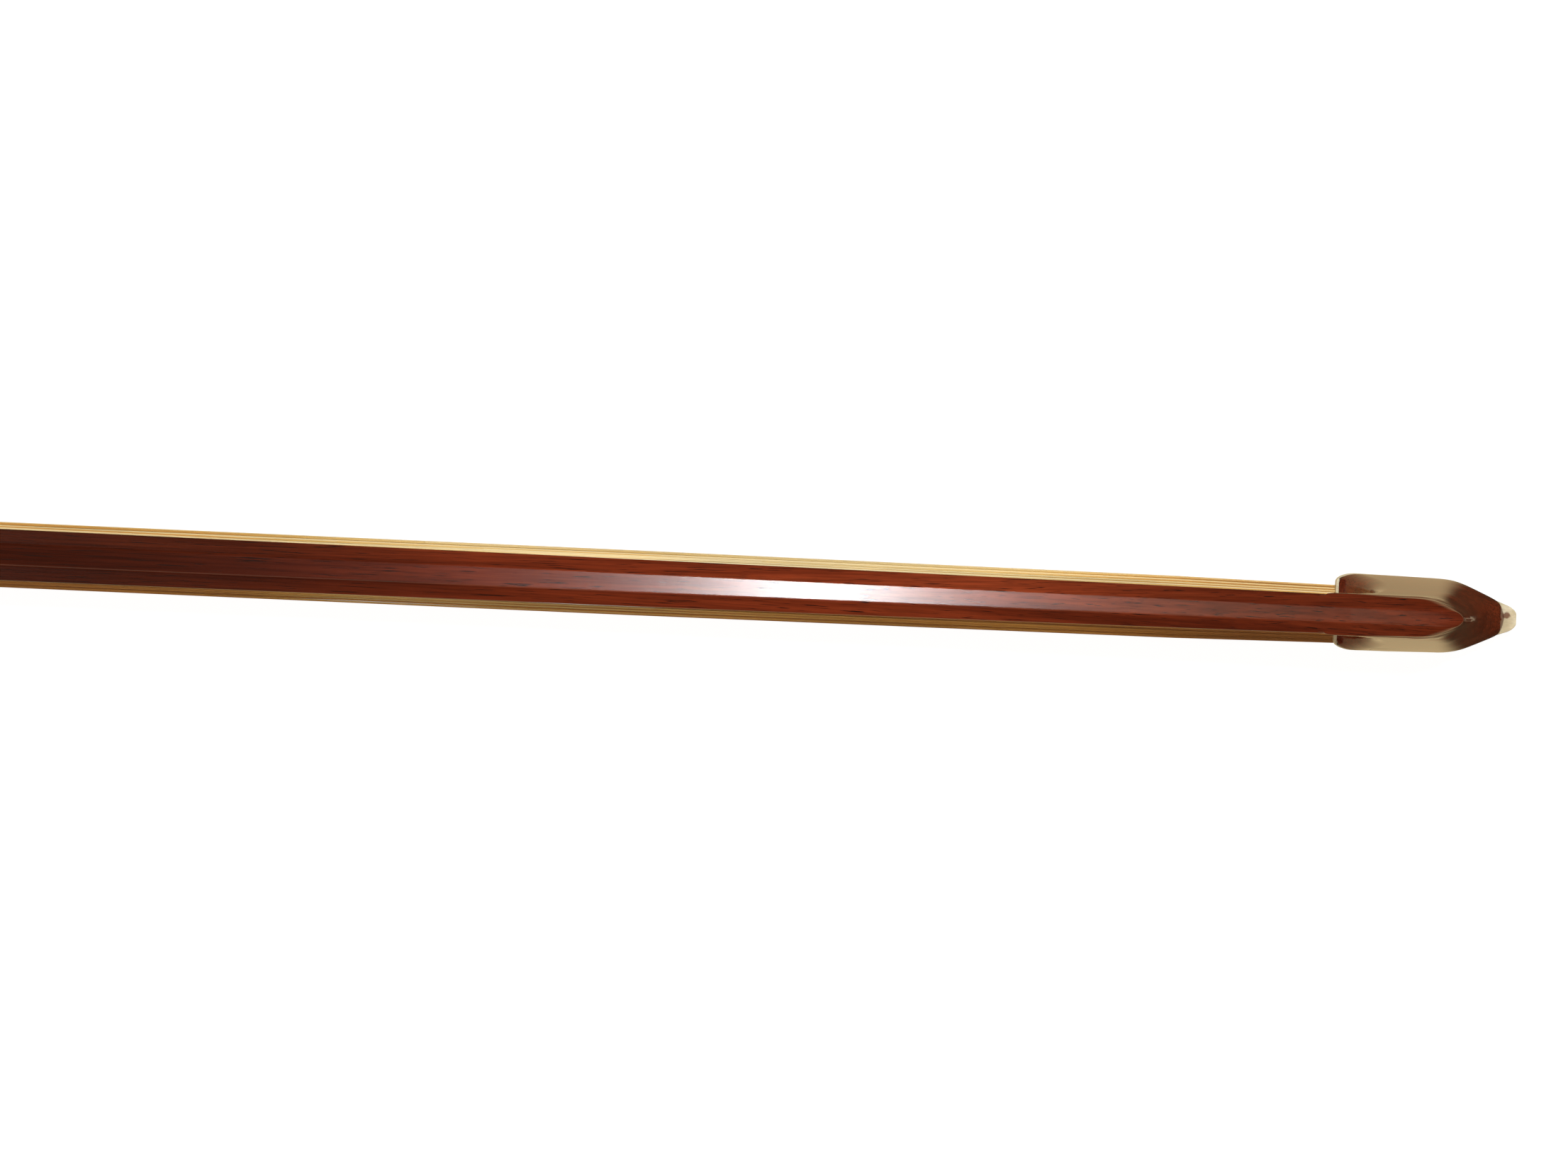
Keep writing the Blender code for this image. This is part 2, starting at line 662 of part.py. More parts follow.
def hair_route():
    """Stations of the hair: (x, z, slope, width), from the knot in the head to the one in the frog."""
    rear = NOSE_X - HEAD_MORTISE_REAR
    inner = HAIR_WIDTH_HEAD * HAIR_SHARE_IN_HEAD
    top = HEAD_MORTISE_DEPTH - 2 * KNOT_RADIUS - 2 * KNOT_THREAD - KNOT_ROOF_GAP
    turn_up = rear + HAIR_THICKNESS
    head = [(turn_up, top, 90, inner)]
    for back, rise, share, slope in HAIR_TURN:
        base = REAR_RISE if slope == 90 else HAIR_Z
        head.append((turn_up - back, base + rise * HAIR_THICKNESS, slope, HAIR_WIDTH_HEAD * share))
    start = head[-1][0]
    ferrule = HEEL_X + FROG_LENGTH
    for share, extra in HAIR_FAN:
        width = HAIR_WIDTH_HEAD + (HAIR_WIDTH_FROG - HAIR_WIDTH_HEAD) * share + extra
        head.append((start + (ferrule - start) * share, HAIR_Z, 0, width))
    wedge_rear = ferrule - WEDGE_LENGTH - WEDGE_SETBACK
    mortise = HEEL_X + FROG_MORTISE_REAR + FROG_MORTISE_LENGTH
    over = SLIDE_TOP + GLUE + HAIR_THICKNESS / 2
    knot = FROG_MORTISE_TOP - 2 * KNOT_RADIUS - 2 * KNOT_THREAD - FROG_KNOT_ROOF_GAP
    frog = [
        (ferrule, HAIR_Z, 0, HAIR_WIDTH_FROG),
        (wedge_rear, HAIR_Z, 0, HAIR_WIDTH_FROG),
        (wedge_rear - HAIR_SLOPE_RUN, (HAIR_Z + over) / 2, -24, HAIR_WIDTH_FROG * HAIR_SLOPE_SHARE),
        (HEEL_X + FERRULE_X + 0.0009, over, 0, HAIR_WIDTH_FROG * HAIR_OVER_SHARE),
    ]
    for back, rise, share, slope in FROG_TURN:
        frog.append((mortise - back, over + rise, slope, FROG_MORTISE_LENGTH * share))
    frog.append((frog[-1][0], knot, -90, FROG_MORTISE_LENGTH * HAIR_KNOT_SHARE))
    return head + frog


def make_hair():
    """A flat ribbon with lengthwise ridges, one cross-section for each station."""
    rings = []
    for x, z, slope, width in hair_route():
        lean = math.radians(slope)
        across = (-math.sin(lean), math.cos(lean))
        ring = []
        for side in (1, -1):
            for k in range(2 * HAIR_RIDGES + 1):
                y = width / 2 * (k / HAIR_RIDGES - 1) * side
                rise = HAIR_THICKNESS * (0.5 if k % 2 else HAIR_RIDGE_SHARE) * side
                ring.append((x + across[0] * rise, y, z + across[1] * rise))
        rings.append(ring)
    finish(loft("hair_ribbon", rings), looks["hair"])


def grip_sleeve(name, start, length, wall, count, look):
    places = levels(start, start + length, count)
    inner = [octagon(x, stick_width(x) + 2 * GLUE, stick_axis(x)) for x in places]
    outer = [octagon(x, stick_width(x) + 2 * GLUE + 2 * wall, stick_axis(x)) for x in places]
    finish(sleeve(name, outer, inner), look)


# Pieces of the frog, in coordinates from its heel


def frog_half_width(x, z):
    """The frog's flat sides: wider towards the ferrule, narrower towards the stick."""
    top = CHANNEL_WIDTH / 2 + WING_WALL
    forwards = (FERRULE_WIDTH / 2 - GLUE - HEEL_WIDTH / 2) / FERRULE_X
    return HEEL_WIDTH / 2 + forwards * x + (top - HEEL_WIDTH / 2) * z / FROG_TOP_Z


def frog_profile():
    """The frog from the side: level top and base, and a cove down to the ferrule."""
    start = (FERRULE_X, FERRULE_HEIGHT + GLUE)
    bend = (FERRULE_X - COVE_BEND_BACK, FROG_HEIGHT * COVE_BEND_SHARE)
    tip = (FROG_TOP_FRONT - 2 * GLUE, FROG_HEIGHT + COVE_LIP_RISE)
    cove = []
    for i in range(11):
        t = i / 10
        cove.append(tuple(
            a * (1 - t) ** 2 + 2 * b * t * (1 - t) + c * t**2
            for a, b, c in zip(start, bend, tip)
        ))
    base = HEEL_PLATE_WALL + GLUE
    step = HEEL_PLATE_LENGTH + GLUE
    plate_top = HEEL_PLATE_HEIGHT + GLUE
    rear = [
        (HEEL_LEAN_TOP, FROG_TOP_Z), (HEEL_LEAN_MIDDLE, HEEL_PLATE_HEIGHT + HEEL_LEAN_RISE),
        (GLUE, plate_top),
    ]
    heel = [(base, plate_top), (base, base), (step, base), (step, FLOOR_GAP)]
    return heel + [(FERRULE_X, FLOOR_GAP)] + cove + [(FROG_TOP_FRONT, FROG_TOP_Z)] + rear


def d_ring(x, inset, corner):
    """The ferrule's D-shaped outline, flat below and round above, drawn in by an inset."""
    half, low, high = FERRULE_WIDTH / 2 - inset, inset, FERRULE_HEIGHT - inset
    middle = FERRULE_HEIGHT * FERRULE_SHOULDER
    points = []
    for i in range(17):
        angle = math.pi * i / 16
        points.append((x, half * math.cos(angle), middle + (high - middle) * math.sin(angle)))
    for side in (-1, 1):
        for i in range(4):
            angle = math.pi / 2 * (i / 3 if side < 0 else 1 - i / 3)
            y = half - corner + corner * math.cos(angle)
            points.append((x, side * y, low + corner - corner * math.sin(angle)))
    return points


def make_frog_body(carriage):
    body = side_plate("frog_body", frog_profile(), 1.0)
    for vert in body.data.vertices:
        side = 1 if vert.co.y > 0 else -1
        vert.co.y = side * frog_half_width(vert.co.x, vert.co.z)
    tongue_low = HAIR_Z + HAIR_THICKNESS / 2 + 2 * GLUE + WEDGE_THICKNESS
    ends = (FERRULE_X - MARGIN, FROG_LENGTH - TONGUE_SETBACK)
    tongue = loft("frog_tongue", [d_ring(x, FERRULE_WALL + GLUE, FERRULE_CORNER / 2) for x in ends])
    hair_room = block(
        "hair_room", (FERRULE_X - 2 * MARGIN, -FERRULE_WIDTH, -MARGIN),
        (FROG_LENGTH + MARGIN, FERRULE_WIDTH, tongue_low),
    )
    cut(tongue, hair_room)
    join(body, tongue)
    stick_way = loft("stick_channel", [
        octagon(x, CHANNEL_WIDTH, AXIS_Z) for x in (-MARGIN, FROG_TOP_FRONT + MARGIN)
    ])
    mortise_half = FROG_MORTISE_LENGTH * FROG_MORTISE_SHARE / 2
    front = FROG_MORTISE_REAR + FROG_MORTISE_LENGTH
    mortise = block(
        "frog_mortise", (FROG_MORTISE_REAR, -mortise_half, 0),
        (front, mortise_half, FROG_MORTISE_TOP), FROG_MORTISE_TAPER,
    )
    channel_half = HAIR_WIDTH_FROG * HAIR_CHANNEL_SHARE / 2
    channel = block(
        "hair_channel", (front - MARGIN, -channel_half, 0),
        (FERRULE_X + MARGIN / 2, channel_half, tongue_low),
    )
    cut(body, stick_way, slide_way(carriage), mortise, channel, eyelet_bore(carriage))
    cut(body, *(eye_bore(side, carriage) for side in (1, -1)), *pin_bores(carriage))
    finish(body, looks["ebony"], carriage)
    for helper in (stick_way, mortise, channel, tongue, hair_room):
        helper.parent = carriage
    return body


def slide_outline(low, high, slack):
    """The dovetailed slide's cross-section between two heights."""
    wider = SLIDE_DOVETAIL / SLIDE_TOP
    a = SLIDE_WIDTH / 2 + wider * low + slack
    b = SLIDE_WIDTH / 2 + wider * high + slack
    return [(-a, low), (a, low), (b, high), (-b, high)]


def slide_way(carriage):
    start, end = HEEL_PLATE_LENGTH - 4 * GLUE, FERRULE_X + MARGIN / 4
    made = end_prism("slide_way", slide_outline(-MARGIN, SLIDE_TOP + GLUE, GLUE), start, end)
    made.parent = carriage
    return made


def eyelet_bore(carriage):
    made = rod(
        "eyelet_bore", (EYELET_X, 0, FROG_HEIGHT - EYELET_STEM_LENGTH - 3 * GLUE),
        (EYELET_X, 0, FROG_HEIGHT + MARGIN), EYELET_STEM_RADIUS + GLUE,
    )
    made.parent = carriage
    return made


def eye_line(side):
    """A point on the frog's side at the eye, and the side's outward direction there."""
    point = Vector((EYE_X, side * frog_half_width(EYE_X, EYE_Z), EYE_Z))
    lean_x = frog_half_width(1, 0) - frog_half_width(0, 0)
    lean_z = frog_half_width(0, 1) - frog_half_width(0, 0)
    return point, Vector((-lean_x, side, -lean_z)).normalized()


def eye_bore(side, carriage):
    point, out = eye_line(side)
    name = "eye_bore_left" if side > 0 else "eye_bore_right"
    made = rod(name, point - out * (EYE_DEPTH + GLUE), point + out * MARGIN, EYE_RING_OUTER + GLUE, 32)
    post = ring_between(
        name + "_post", point - out * 2 * EYE_DEPTH, point + out * 2 * MARGIN,
        EYE_RADIUS + GLUE, EYE_RING_INNER - GLUE,
    )
    cut(made, post)
    made.parent = post.parent = carriage
    return made


def pins():
    """Each pin: its name, its outer end and its inner end."""
    top = FROG_HEIGHT - RUNNING - PIN_SINK
    lower, upper = HEEL_PIN_HEIGHTS
    rear, front = UNDERSLIDE_PIN_PLACES
    return [
        ("heel_pin_lower", (PIN_SINK, 0, lower), (PIN_LENGTH, 0, lower)),
        ("heel_pin_upper", (PIN_SINK, 0, upper), (PIN_LENGTH, 0, upper)),
        ("underslide_pin_rear", (rear, 0, top), (rear, 0, top - PIN_LENGTH)),
        ("underslide_pin_front", (front, 0, top), (front, 0, top - PIN_LENGTH)),
    ]


def pin_bores(carriage):
    bores = []
    for name, start, end in pins():
        start, end = Vector(start), Vector(end)
        along = (end - start).normalized()
        mouth, floor = start - along * 6 * GLUE, end + along * GLUE
        bore = rod(name + "_bore", mouth, floor, PIN_RADIUS + GLUE / 2, 12)
        bore.parent = carriage
        bores.append(bore)
    return bores


def make_pins(carriage):
    for name, start, end in pins():
        finish(rod(name, start, end, PIN_RADIUS, 12), looks["silver"], carriage)


def make_underslide(carriage):
    """A thin liner under the stick's three lower facets."""
    inner = octagon(0, HANDLE_WIDTH + 2 * RUNNING, AXIS_Z)[4:8]
    outer = octagon(0, HANDLE_WIDTH + 2 * RUNNING + 2 * LINER_WALL, AXIS_Z)[4:8]
    outline = [(y, z) for _, y, z in inner] + [(y, z) for _, y, z in reversed(outer)]
    liner = end_prism("underslide", outline, UNDERSLIDE_REAR, FROG_TOP_FRONT - UNDERSLIDE_FRONT_GAP)
    cut(liner, bpy.data.objects["eyelet_bore"])
    for name, _, _ in pins()[2:]:
        cut(liner, bpy.data.objects[name + "_bore"])
    finish(liner, looks["silver"], carriage)


def make_eyelet(carriage):
    half = EYELET_LENGTH / 2
    low = (EYELET_X - half, -EYELET_WIDTH / 2, FROG_HEIGHT + 2 * RUNNING)
    high = (EYELET_X + half, EYELET_WIDTH / 2, AXIS_Z + SCREW_RADIUS + EYELET_CROWN)
    eyelet = block("eyelet", low, high)
    bevel = eyelet.modifiers.new("soft edges", "BEVEL")
    bevel.width = EYELET_EDGE
    bevel.segments = 2
    stem = rod(
        "eyelet_stem", (EYELET_X, 0, FROG_HEIGHT - EYELET_STEM_LENGTH),
        (EYELET_X, 0, FROG_HEIGHT + MARGIN), EYELET_STEM_RADIUS,
    )
    hole = rod(
        "eyelet_hole", (EYELET_X - EYELET_LENGTH, 0, AXIS_Z), (EYELET_X + EYELET_LENGTH, 0, AXIS_Z),
        SCREW_RADIUS + RUNNING / 2,
    )
    join(eyelet, stem)
    cut(eyelet, hole)
    stem.parent = hole.parent = carriage
    finish(eyelet, looks["brass"], carriage)


def make_ferrule(carriage):
    ends = (FERRULE_X + GLUE, FROG_LENGTH)
    outer = [d_ring(x, 0, FERRULE_CORNER) for x in ends]
    inner = [d_ring(x, FERRULE_WALL, FERRULE_CORNER / 2) for x in ends]
    finish(sleeve("ferrule", outer, inner), looks["silver"], carriage)


def make_wedge(carriage):
    front = FROG_LENGTH - WEDGE_SETBACK
    low = HAIR_Z + HAIR_THICKNESS / 2 + GLUE
    wedge = block(
        "ferrule_wedge", (front - WEDGE_LENGTH, -HAIR_WIDTH_FROG / 2, low),
        (front, HAIR_WIDTH_FROG / 2, low + WEDGE_THICKNESS),
    )
    finish(wedge, looks["plug"], carriage)


def make_slide(carriage):
    ends = (HEEL_PLATE_LENGTH + 2 * GLUE, FERRULE_X - GLUE)
    pearl = end_prism("slide_pearl", slide_outline(0, PEARL_THICKNESS, 0), *ends)
    bar = end_prism("slide_bar", slide_outline(PEARL_THICKNESS + GLUE, SLIDE_TOP, 0), *ends)
    finish(pearl, looks["pearl"], carriage)
    finish(bar, looks["ebony"], carriage)


def make_heel_plate(carriage):
    """An angle over the heel: one leg up the rear, one under the base."""
    wall, rise, run = HEEL_PLATE_WALL, HEEL_PLATE_HEIGHT, HEEL_PLATE_LENGTH
    outline = [(0, 0), (run, 0), (run, wall), (wall, wall), (wall, rise), (0, rise)]
    plate = side_plate("heel_plate", outline, HEEL_WIDTH / 2 - 2 * GLUE)
    for name, _, _ in pins()[:2]:
        cut(plate, bpy.data.objects[name + "_bore"])
    finish(plate, looks["silver"], carriage)


def make_eyes(carriage):
    for side, label in ((1, "left"), (-1, "right")):
        point, out = eye_line(side)
        seat = point - out * EYE_DEPTH
        pearl = rod("pearl_eye_" + label, seat, point, EYE_RADIUS, 32)
        finish(pearl, looks["pearl"], carriage)
        ring = ring_between("eye_ring_" + label, seat, point, EYE_RING_INNER, EYE_RING_OUTER)
        finish(ring, looks["silver"], carriage)


def make_frog_plug(carriage):
    half = FROG_MORTISE_LENGTH * FROG_MORTISE_SHARE / 2 - GLUE * 2
    low = (FROG_MORTISE_REAR + GLUE, -half, SLIDE_TOP + 2 * GLUE)
    slot = 2 * HAIR_THICKNESS + 3 * GLUE
    high = (FROG_MORTISE_REAR + FROG_MORTISE_LENGTH - slot, half, FROG_PLUG_TOP)
    finish(block("frog_plug", low, high, FROG_PLUG_TAPER), looks["plug"], carriage)


# The screw and the button, in coordinates along the stick's axis from the stick's butt


def button_octagon(x, width):
    return octagon(x, width, 0)


def make_screw(axle):
    shoulder = screw_shoulder_x() - BUTT_X
    rear = -BUTTON_GAP - BUTTON_LENGTH + 2 * MARGIN
    neck = rear + SCREW_SQUARE_LENGTH
    profile = [
        (0, shoulder + SCREW_TIP_LENGTH), (SCREW_TIP_RADIUS, shoulder + SCREW_TIP_LENGTH),
        (SCREW_TIP_RADIUS, shoulder), (SCREW_RADIUS, shoulder), (SCREW_RADIUS, neck), (0, neck),
    ]
    along_x = Matrix.Rotation(math.pi / 2, 4, "Y")
    screw = turned("screw", profile, along_x)
    half = SCREW_SQUARE / 2
    square = block("screw_square", (rear, -half, -half), (neck + MARGIN, half, half))
    square.parent = axle
    join(screw, square)
    finish(screw, looks["steel"], axle)


def make_button(axle):
    front, rear = -BUTTON_GAP, -BUTTON_GAP - BUTTON_LENGTH
    slim = BUTTON_WIDTH - 2 * BAND_WALL - 2 * GLUE
    band_front, band_rear = front - BAND_LENGTH, rear + BAND_LENGTH
    lip = BAND_WALL + GLUE
    core = loft("button_core", [
        button_octagon(rear + lip, slim), button_octagon(band_rear + GLUE, slim),
        button_octagon(band_rear + GLUE, BUTTON_WIDTH), button_octagon(band_front - GLUE, BUTTON_WIDTH),
        button_octagon(band_front - GLUE, slim), button_octagon(front, slim),
    ])
    recess = rod(
        "nipple_recess", (front - NIPPLE_LENGTH, 0, 0), (front + MARGIN, 0, 0),
        NIPPLE_RADIUS + 2 * RUNNING,
    )
    pearl_seat = rod(
        "pearl_seat", (rear - MARGIN, 0, 0), (rear + BUTTON_PEARL_DEPTH + GLUE, 0, 0),
        BUTTON_PEARL_RADIUS + GLUE,
    )
    half = SCREW_SQUARE / 2 + GLUE
    square_hole = block(
        "square_hole", (rear + 2 * MARGIN - 2 * GLUE - BUTTON_GAP, -half, -half),
        (front + MARGIN, half, half),
    )
    neck_hole = rod(
        "neck_hole", (rear + 2 * MARGIN + SCREW_SQUARE_LENGTH - GLUE, 0, 0), (front + MARGIN, 0, 0),
        SCREW_RADIUS + GLUE,
    )
    cut(core, recess, pearl_seat, square_hole, neck_hole)
    finish(core, looks["ebony"], axle)
    for helper in (recess, pearl_seat, square_hole, neck_hole):
        helper.parent = axle
    make_bands(axle, (band_front, front), (rear, band_rear))


def make_bands(axle, front, rear):
    hole = BUTTON_WIDTH - 2 * BAND_WALL
    band = sleeve(
        "button_front_band", [button_octagon(x, BUTTON_WIDTH) for x in front],
        [button_octagon(x, hole) for x in front],
    )
    finish(band, looks["silver"], axle)
    cap = loft("button_rear_band", [button_octagon(x, BUTTON_WIDTH) for x in rear])
    pocket_ends = (rear[0] + BAND_WALL, rear[1] + MARGIN)
    pocket = loft("cap_pocket", [button_octagon(x, hole) for x in pocket_ends])
    pocket.parent = axle
    cut(cap, pocket, bpy.data.objects["pearl_seat"])
    finish(cap, looks["silver"], axle)
    start = (rear[0], 0, 0)
    end = (rear[0] + BUTTON_PEARL_DEPTH, 0, 0)
    finish(rod("button_pearl", start, end, BUTTON_PEARL_RADIUS), looks["pearl"], axle)


clear_scene()
parts = collection("violin_bow")
cutters = collection("cutters")
looks = {
    "wood": material("varnished_wood", (0.115, 0.030, 0.013), 0.25),
    "bone": material("bone", (0.62, 0.52, 0.33), 0.4),
    "ebony": material("ebony", (0.015, 0.012, 0.010), 0.35),
    "plug": material("plug_wood", (0.45, 0.30, 0.16), 0.6),
    "hair": material("hair", (0.70, 0.52, 0.25), 0.45),
    "thread": material("thread", (0.55, 0.08, 0.05), 0.7),
    "leather": material("leather", (0.05, 0.025, 0.015), 0.6),
    "silver": material("nickel_silver", (0.72, 0.70, 0.66), 0.25, 1.0),
    "steel": material("steel", (0.55, 0.55, 0.56), 0.35, 1.0),
    "brass": material("brass", (0.70, 0.50, 0.20), 0.3, 1.0),
    "pearl": material("pearl", (0.80, 0.80, 0.78), 0.2),
}
carriage = empty("frog_carriage", (HEEL_X, 0, 0))
axle = empty("screw_axis", (BUTT_X, 0, AXIS_Z))

make_stick()
make_head_plate()
make_head_plug()
tip_knot = (
    NOSE_X - HEAD_MORTISE_REAR + HAIR_THICKNESS * 2 + 0.0006,
    HEAD_MORTISE_DEPTH - KNOT_RADIUS - KNOT_THREAD - 0.0002,
)
make_knot("tip_hair_knot", "tip_knot_thread", tip_knot, HAIR_WIDTH_HEAD * KNOT_HALF_SHARE)
make_hair()
grip_sleeve("thumb_leather", LEATHER_X, LEATHER_LENGTH, LEATHER_WALL, 4, looks["leather"])
grip_sleeve("wire_lapping", LAPPING_X, LAPPING_LENGTH, LAPPING_WALL, 10, looks["silver"])

make_frog_body(carriage)
make_pins(carriage)
make_underslide(carriage)
make_eyelet(carriage)
make_ferrule(carriage)
make_wedge(carriage)
make_slide(carriage)
make_heel_plate(carriage)
make_eyes(carriage)
make_frog_plug(carriage)
frog_knot = (
    FROG_MORTISE_REAR + FROG_MORTISE_LENGTH - 0.0016,
    FROG_MORTISE_TOP - KNOT_RADIUS - KNOT_THREAD - 0.0003,
)
frog_knot_half = FROG_MORTISE_LENGTH * FROG_MORTISE_SHARE / 3
make_knot("frog_hair_knot", "frog_knot_thread", frog_knot, frog_knot_half, carriage)

make_screw(axle)
make_button(axle)
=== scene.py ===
import contextlib
import math

import bmesh
import bpy
import numpy as np
from mathutils import Matrix, Vector


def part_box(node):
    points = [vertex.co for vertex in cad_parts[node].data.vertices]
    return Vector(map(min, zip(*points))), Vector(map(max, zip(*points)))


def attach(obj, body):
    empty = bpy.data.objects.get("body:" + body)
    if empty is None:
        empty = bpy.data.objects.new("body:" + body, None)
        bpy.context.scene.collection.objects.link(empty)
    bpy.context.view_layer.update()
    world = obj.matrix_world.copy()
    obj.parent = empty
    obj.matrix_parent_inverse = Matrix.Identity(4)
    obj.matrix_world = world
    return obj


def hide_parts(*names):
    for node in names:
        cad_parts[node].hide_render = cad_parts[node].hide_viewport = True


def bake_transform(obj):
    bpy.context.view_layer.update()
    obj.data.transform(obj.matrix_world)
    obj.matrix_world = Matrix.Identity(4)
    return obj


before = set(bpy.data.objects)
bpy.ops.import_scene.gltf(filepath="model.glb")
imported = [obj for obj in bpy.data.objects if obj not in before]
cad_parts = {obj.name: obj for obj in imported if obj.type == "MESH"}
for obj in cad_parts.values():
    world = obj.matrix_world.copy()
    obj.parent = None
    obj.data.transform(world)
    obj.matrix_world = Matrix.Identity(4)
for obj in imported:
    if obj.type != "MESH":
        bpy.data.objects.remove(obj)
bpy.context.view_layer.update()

# Sizes of the bow, in metres, as the CAD has them
BOW_LENGTH = 0.747
HANDLE_WIDTH = 0.0086
TIP_WIDTH = 0.00535
TAPER_KNEE = 0.100
CAMBER = 0.0083
CAMBER_SCALE = 27 / 4
HEAD_LENGTH = 0.0252
HEAD_HEIGHT = 0.0239
CHEEK_BASE_Z = 0.0035
CHEEK_TOP_Z = 0.0205
CHEEK_ROOF_Z = 0.0221
FLANK_DRAW_IN = 0.08
PLATE_WIDTH = 0.0109
PLATE_THICKNESS = 0.0016
WOOD_BASE = 0.0022
BEAK_LENGTH = 0.0019
OGIVE = 0.92
NOSE_RISE = 0.0032
NOSE_CURVE_LENGTH = 0.011
REAR_RISE = 0.0013
REAR_CURVE_LENGTH = 0.0092
REAR_LIP_LENGTH = 0.0044
CORNER_LENGTH = 0.0029
CORNER_DEPTH = 0.0013
PLATE_NOSE_SHARE = 0.26
PLATE_FLARE = 1.83
PLATE_SOFTNESS = 0.05
BEAK_TIP_SHARE = 0.50
BEAK_ROUND_SHARE = 0.60
FACET_BLUNT_LOW = 0.175
FACET_BLUNT_HIGH = 0.03
FACET_SPREAD_LOW = 0.435
FACET_SPREAD_HIGH = 0.87
THROAT_CURVE = [
    (0.0036, 0.0002), (0.0046, 0.0012), (0.0060, 0.0022), (0.0085, 0.0034), (0.0120, 0.0041),
    (0.0155, 0.0038), (0.0175, 0.0026), (0.0188, 0.0003), (0.0223, -0.0036),
]
HEAD_MORTISE_FRONT = 0.0110
HEAD_MORTISE_REAR = 0.0201
HEAD_MORTISE_DEPTH = 0.0065
HEAD_MORTISE_HALF = 0.0045
HAIR_WIDTH_HEAD = 0.0082
HAIR_WIDTH_FROG = 0.0114
HAIR_THICKNESS = 0.0006
HAIR_Z = 0.00075
FROG_LENGTH = 0.046
AXIS_Z = 0.023

NOSE_X = BOW_LENGTH / 2
THROAT_X = NOSE_X - HEAD_LENGTH
BUTT_X = -0.3562
HANDLE_END_X = BUTT_X + 0.110
HEEL_X = BUTT_X + 0.0080
TIP_AXIS_Z = HEAD_HEIGHT - TIP_WIDTH / 2

# Where the visual stick is cut into handle, shaft and head, and how the head laps into the shaft
HANDLE_CUT_X = -0.2900
HEAD_CUT_X = 0.3350
HEAD_LAP = 0.0005
HEAD_SINK = 0.000012
CUT_MARGIN = 0.00002

# Small shapes: the stick's arrises, the wire, and turned pieces
ARRIS = 0.00033
ARRIS_GUARD = 0.00006
WIRE_RADIUS = 0.00017
TURNED_SIDES = 72

# The smooth head's front as (height, distance behind the nose), a little fuller at its foot than the CAD's
FRONT_CURVE = [
    (0.0030, 0.0015), (0.0054, 0.0019), (0.0080, 0.0036), (0.0120, 0.0059), (0.0160, 0.0076),
    (0.0200, 0.0088), (0.0230, 0.0096), (0.0280, 0.0106),
]
# Its front is blunt below and an ogive above, from this share of its height on
FRONT_BLEND_START = 0.55
OGIVE_UNIT = 0.001
OGIVE_TAPER = 0.12
NOSE_BLUNT_RUN = 0.00034

# Its lean to one side, and the radii of its edges
HEAD_LEAN = 0.00050
HEAD_LEAN_TOP = 0.0180
SHAFT_ROUND = ARRIS * 0.12
CHEEK_ROUND = 0.00008
NOSE_ROUND = 0.00030
NOSE_EDGE = 0.00016
BASE_ROUND = 0.00010
REAR_STEEPNESS = 0.8
# The hollow between ridge and cheeks, as (X, reach), wider round the ridge's point
FILLET = [(0.3560, 0.0009), (0.3625, 0.0021), (0.3735, 0.0021)]

# How its mesh is moved onto that surface: steps before each evening out, and after the last
HEAD_VOXEL_MM = 0.15
HEAD_ROUNDS = (5, 2, 2, 2)
LAST_ROUNDS = 3
FIELD_STEP = 0.00001
LONGEST_STEP = 0.0003
LEAST_STEEPNESS = 0.2
MORTISE_MARGIN = 0.0002
TINY = 1e-9

# The hair: fine strands in a flat band
SEED = 11
HAIR_COUNT = 176
HAIR_RADIUS = 0.000088
HAIR_SIDES = 5
HAIR_RIM = 0.995
HAIR_RIM_START = 0.985
HAIR_LAYERS = HAIR_THICKNESS / 2 - HAIR_RADIUS
HAIR_SCATTER = 0.012
HAIR_WANDER = 0.009
HAIR_WAVES = (1, 2, 3, 5, 8)
HAIR_RISE = 0.00004
SIDE_START = 0.25
SIDE_RUN = 0.35
# How much wider than an even taper it fans out, as (share of the way to the frog, metres)
HAIR_FAN = [
    (0.0, 0.0), (0.011, 0.00012), (0.041, 0.00055), (0.16, 0.00060), (0.22, 0.00042), (0.28, 0.00024),
    (0.36, 0.00006), (0.5, 0.0), (1.0, 0.0),
]
# Painted shade on the strands of its -Y side, in the stick's shadow: how far they lose their light tone, as
# (X, share)
HAIR_PAINTED_SHADE = [
    (0.14, 0.95), (0.19, 0.78), (0.215, 0.24), (0.25, 0.36), (0.28, 0.68), (0.31, 0.68), (0.335, 1.0),
]
# Painted light on the strands of its lit +Y side: how far they gain in light tone, as (X, share)
HAIR_PAINTED_LIGHT = [
    (0.14, 0.10), (0.19, 0.10), (0.22, 0.50), (0.25, 0.35), (0.28, 0.60), (0.31, 0.30), (0.335, 0.0),
]

# The leather grip
SKIVE = 0.0025
LEATHER_THIN = 0.00022
LEATHER_MORE = 0.00063
LEATHER_ARRIS = 0.0016

# The floor in the polish's reflections, a painted reflection: a glowing sheet, a narrow strip under the
# front of the bow and wide behind it, with a painted shadow of the head past its nose; pairs are where a
# change starts and ends
SHEET_PALE = (1.0, 0.95, 0.87)
SHEET_WARM = (1.0, 0.76, 0.40)
SHEET_TURNS_WARM = (-0.05, 0.16)
SHEET_LIGHT = 0.80
STRIP_EDGE = (0.03, 0.09)
SHEET_WIDENS = (0.06, -0.02)
SHADOW_REAR = (0.3628, 0.3690)
SHADOW_FRONT = (0.410, 0.440)
SHADOW_SIDE = (0.012, 0.018)
SHADOW_DEPTH = 0.93
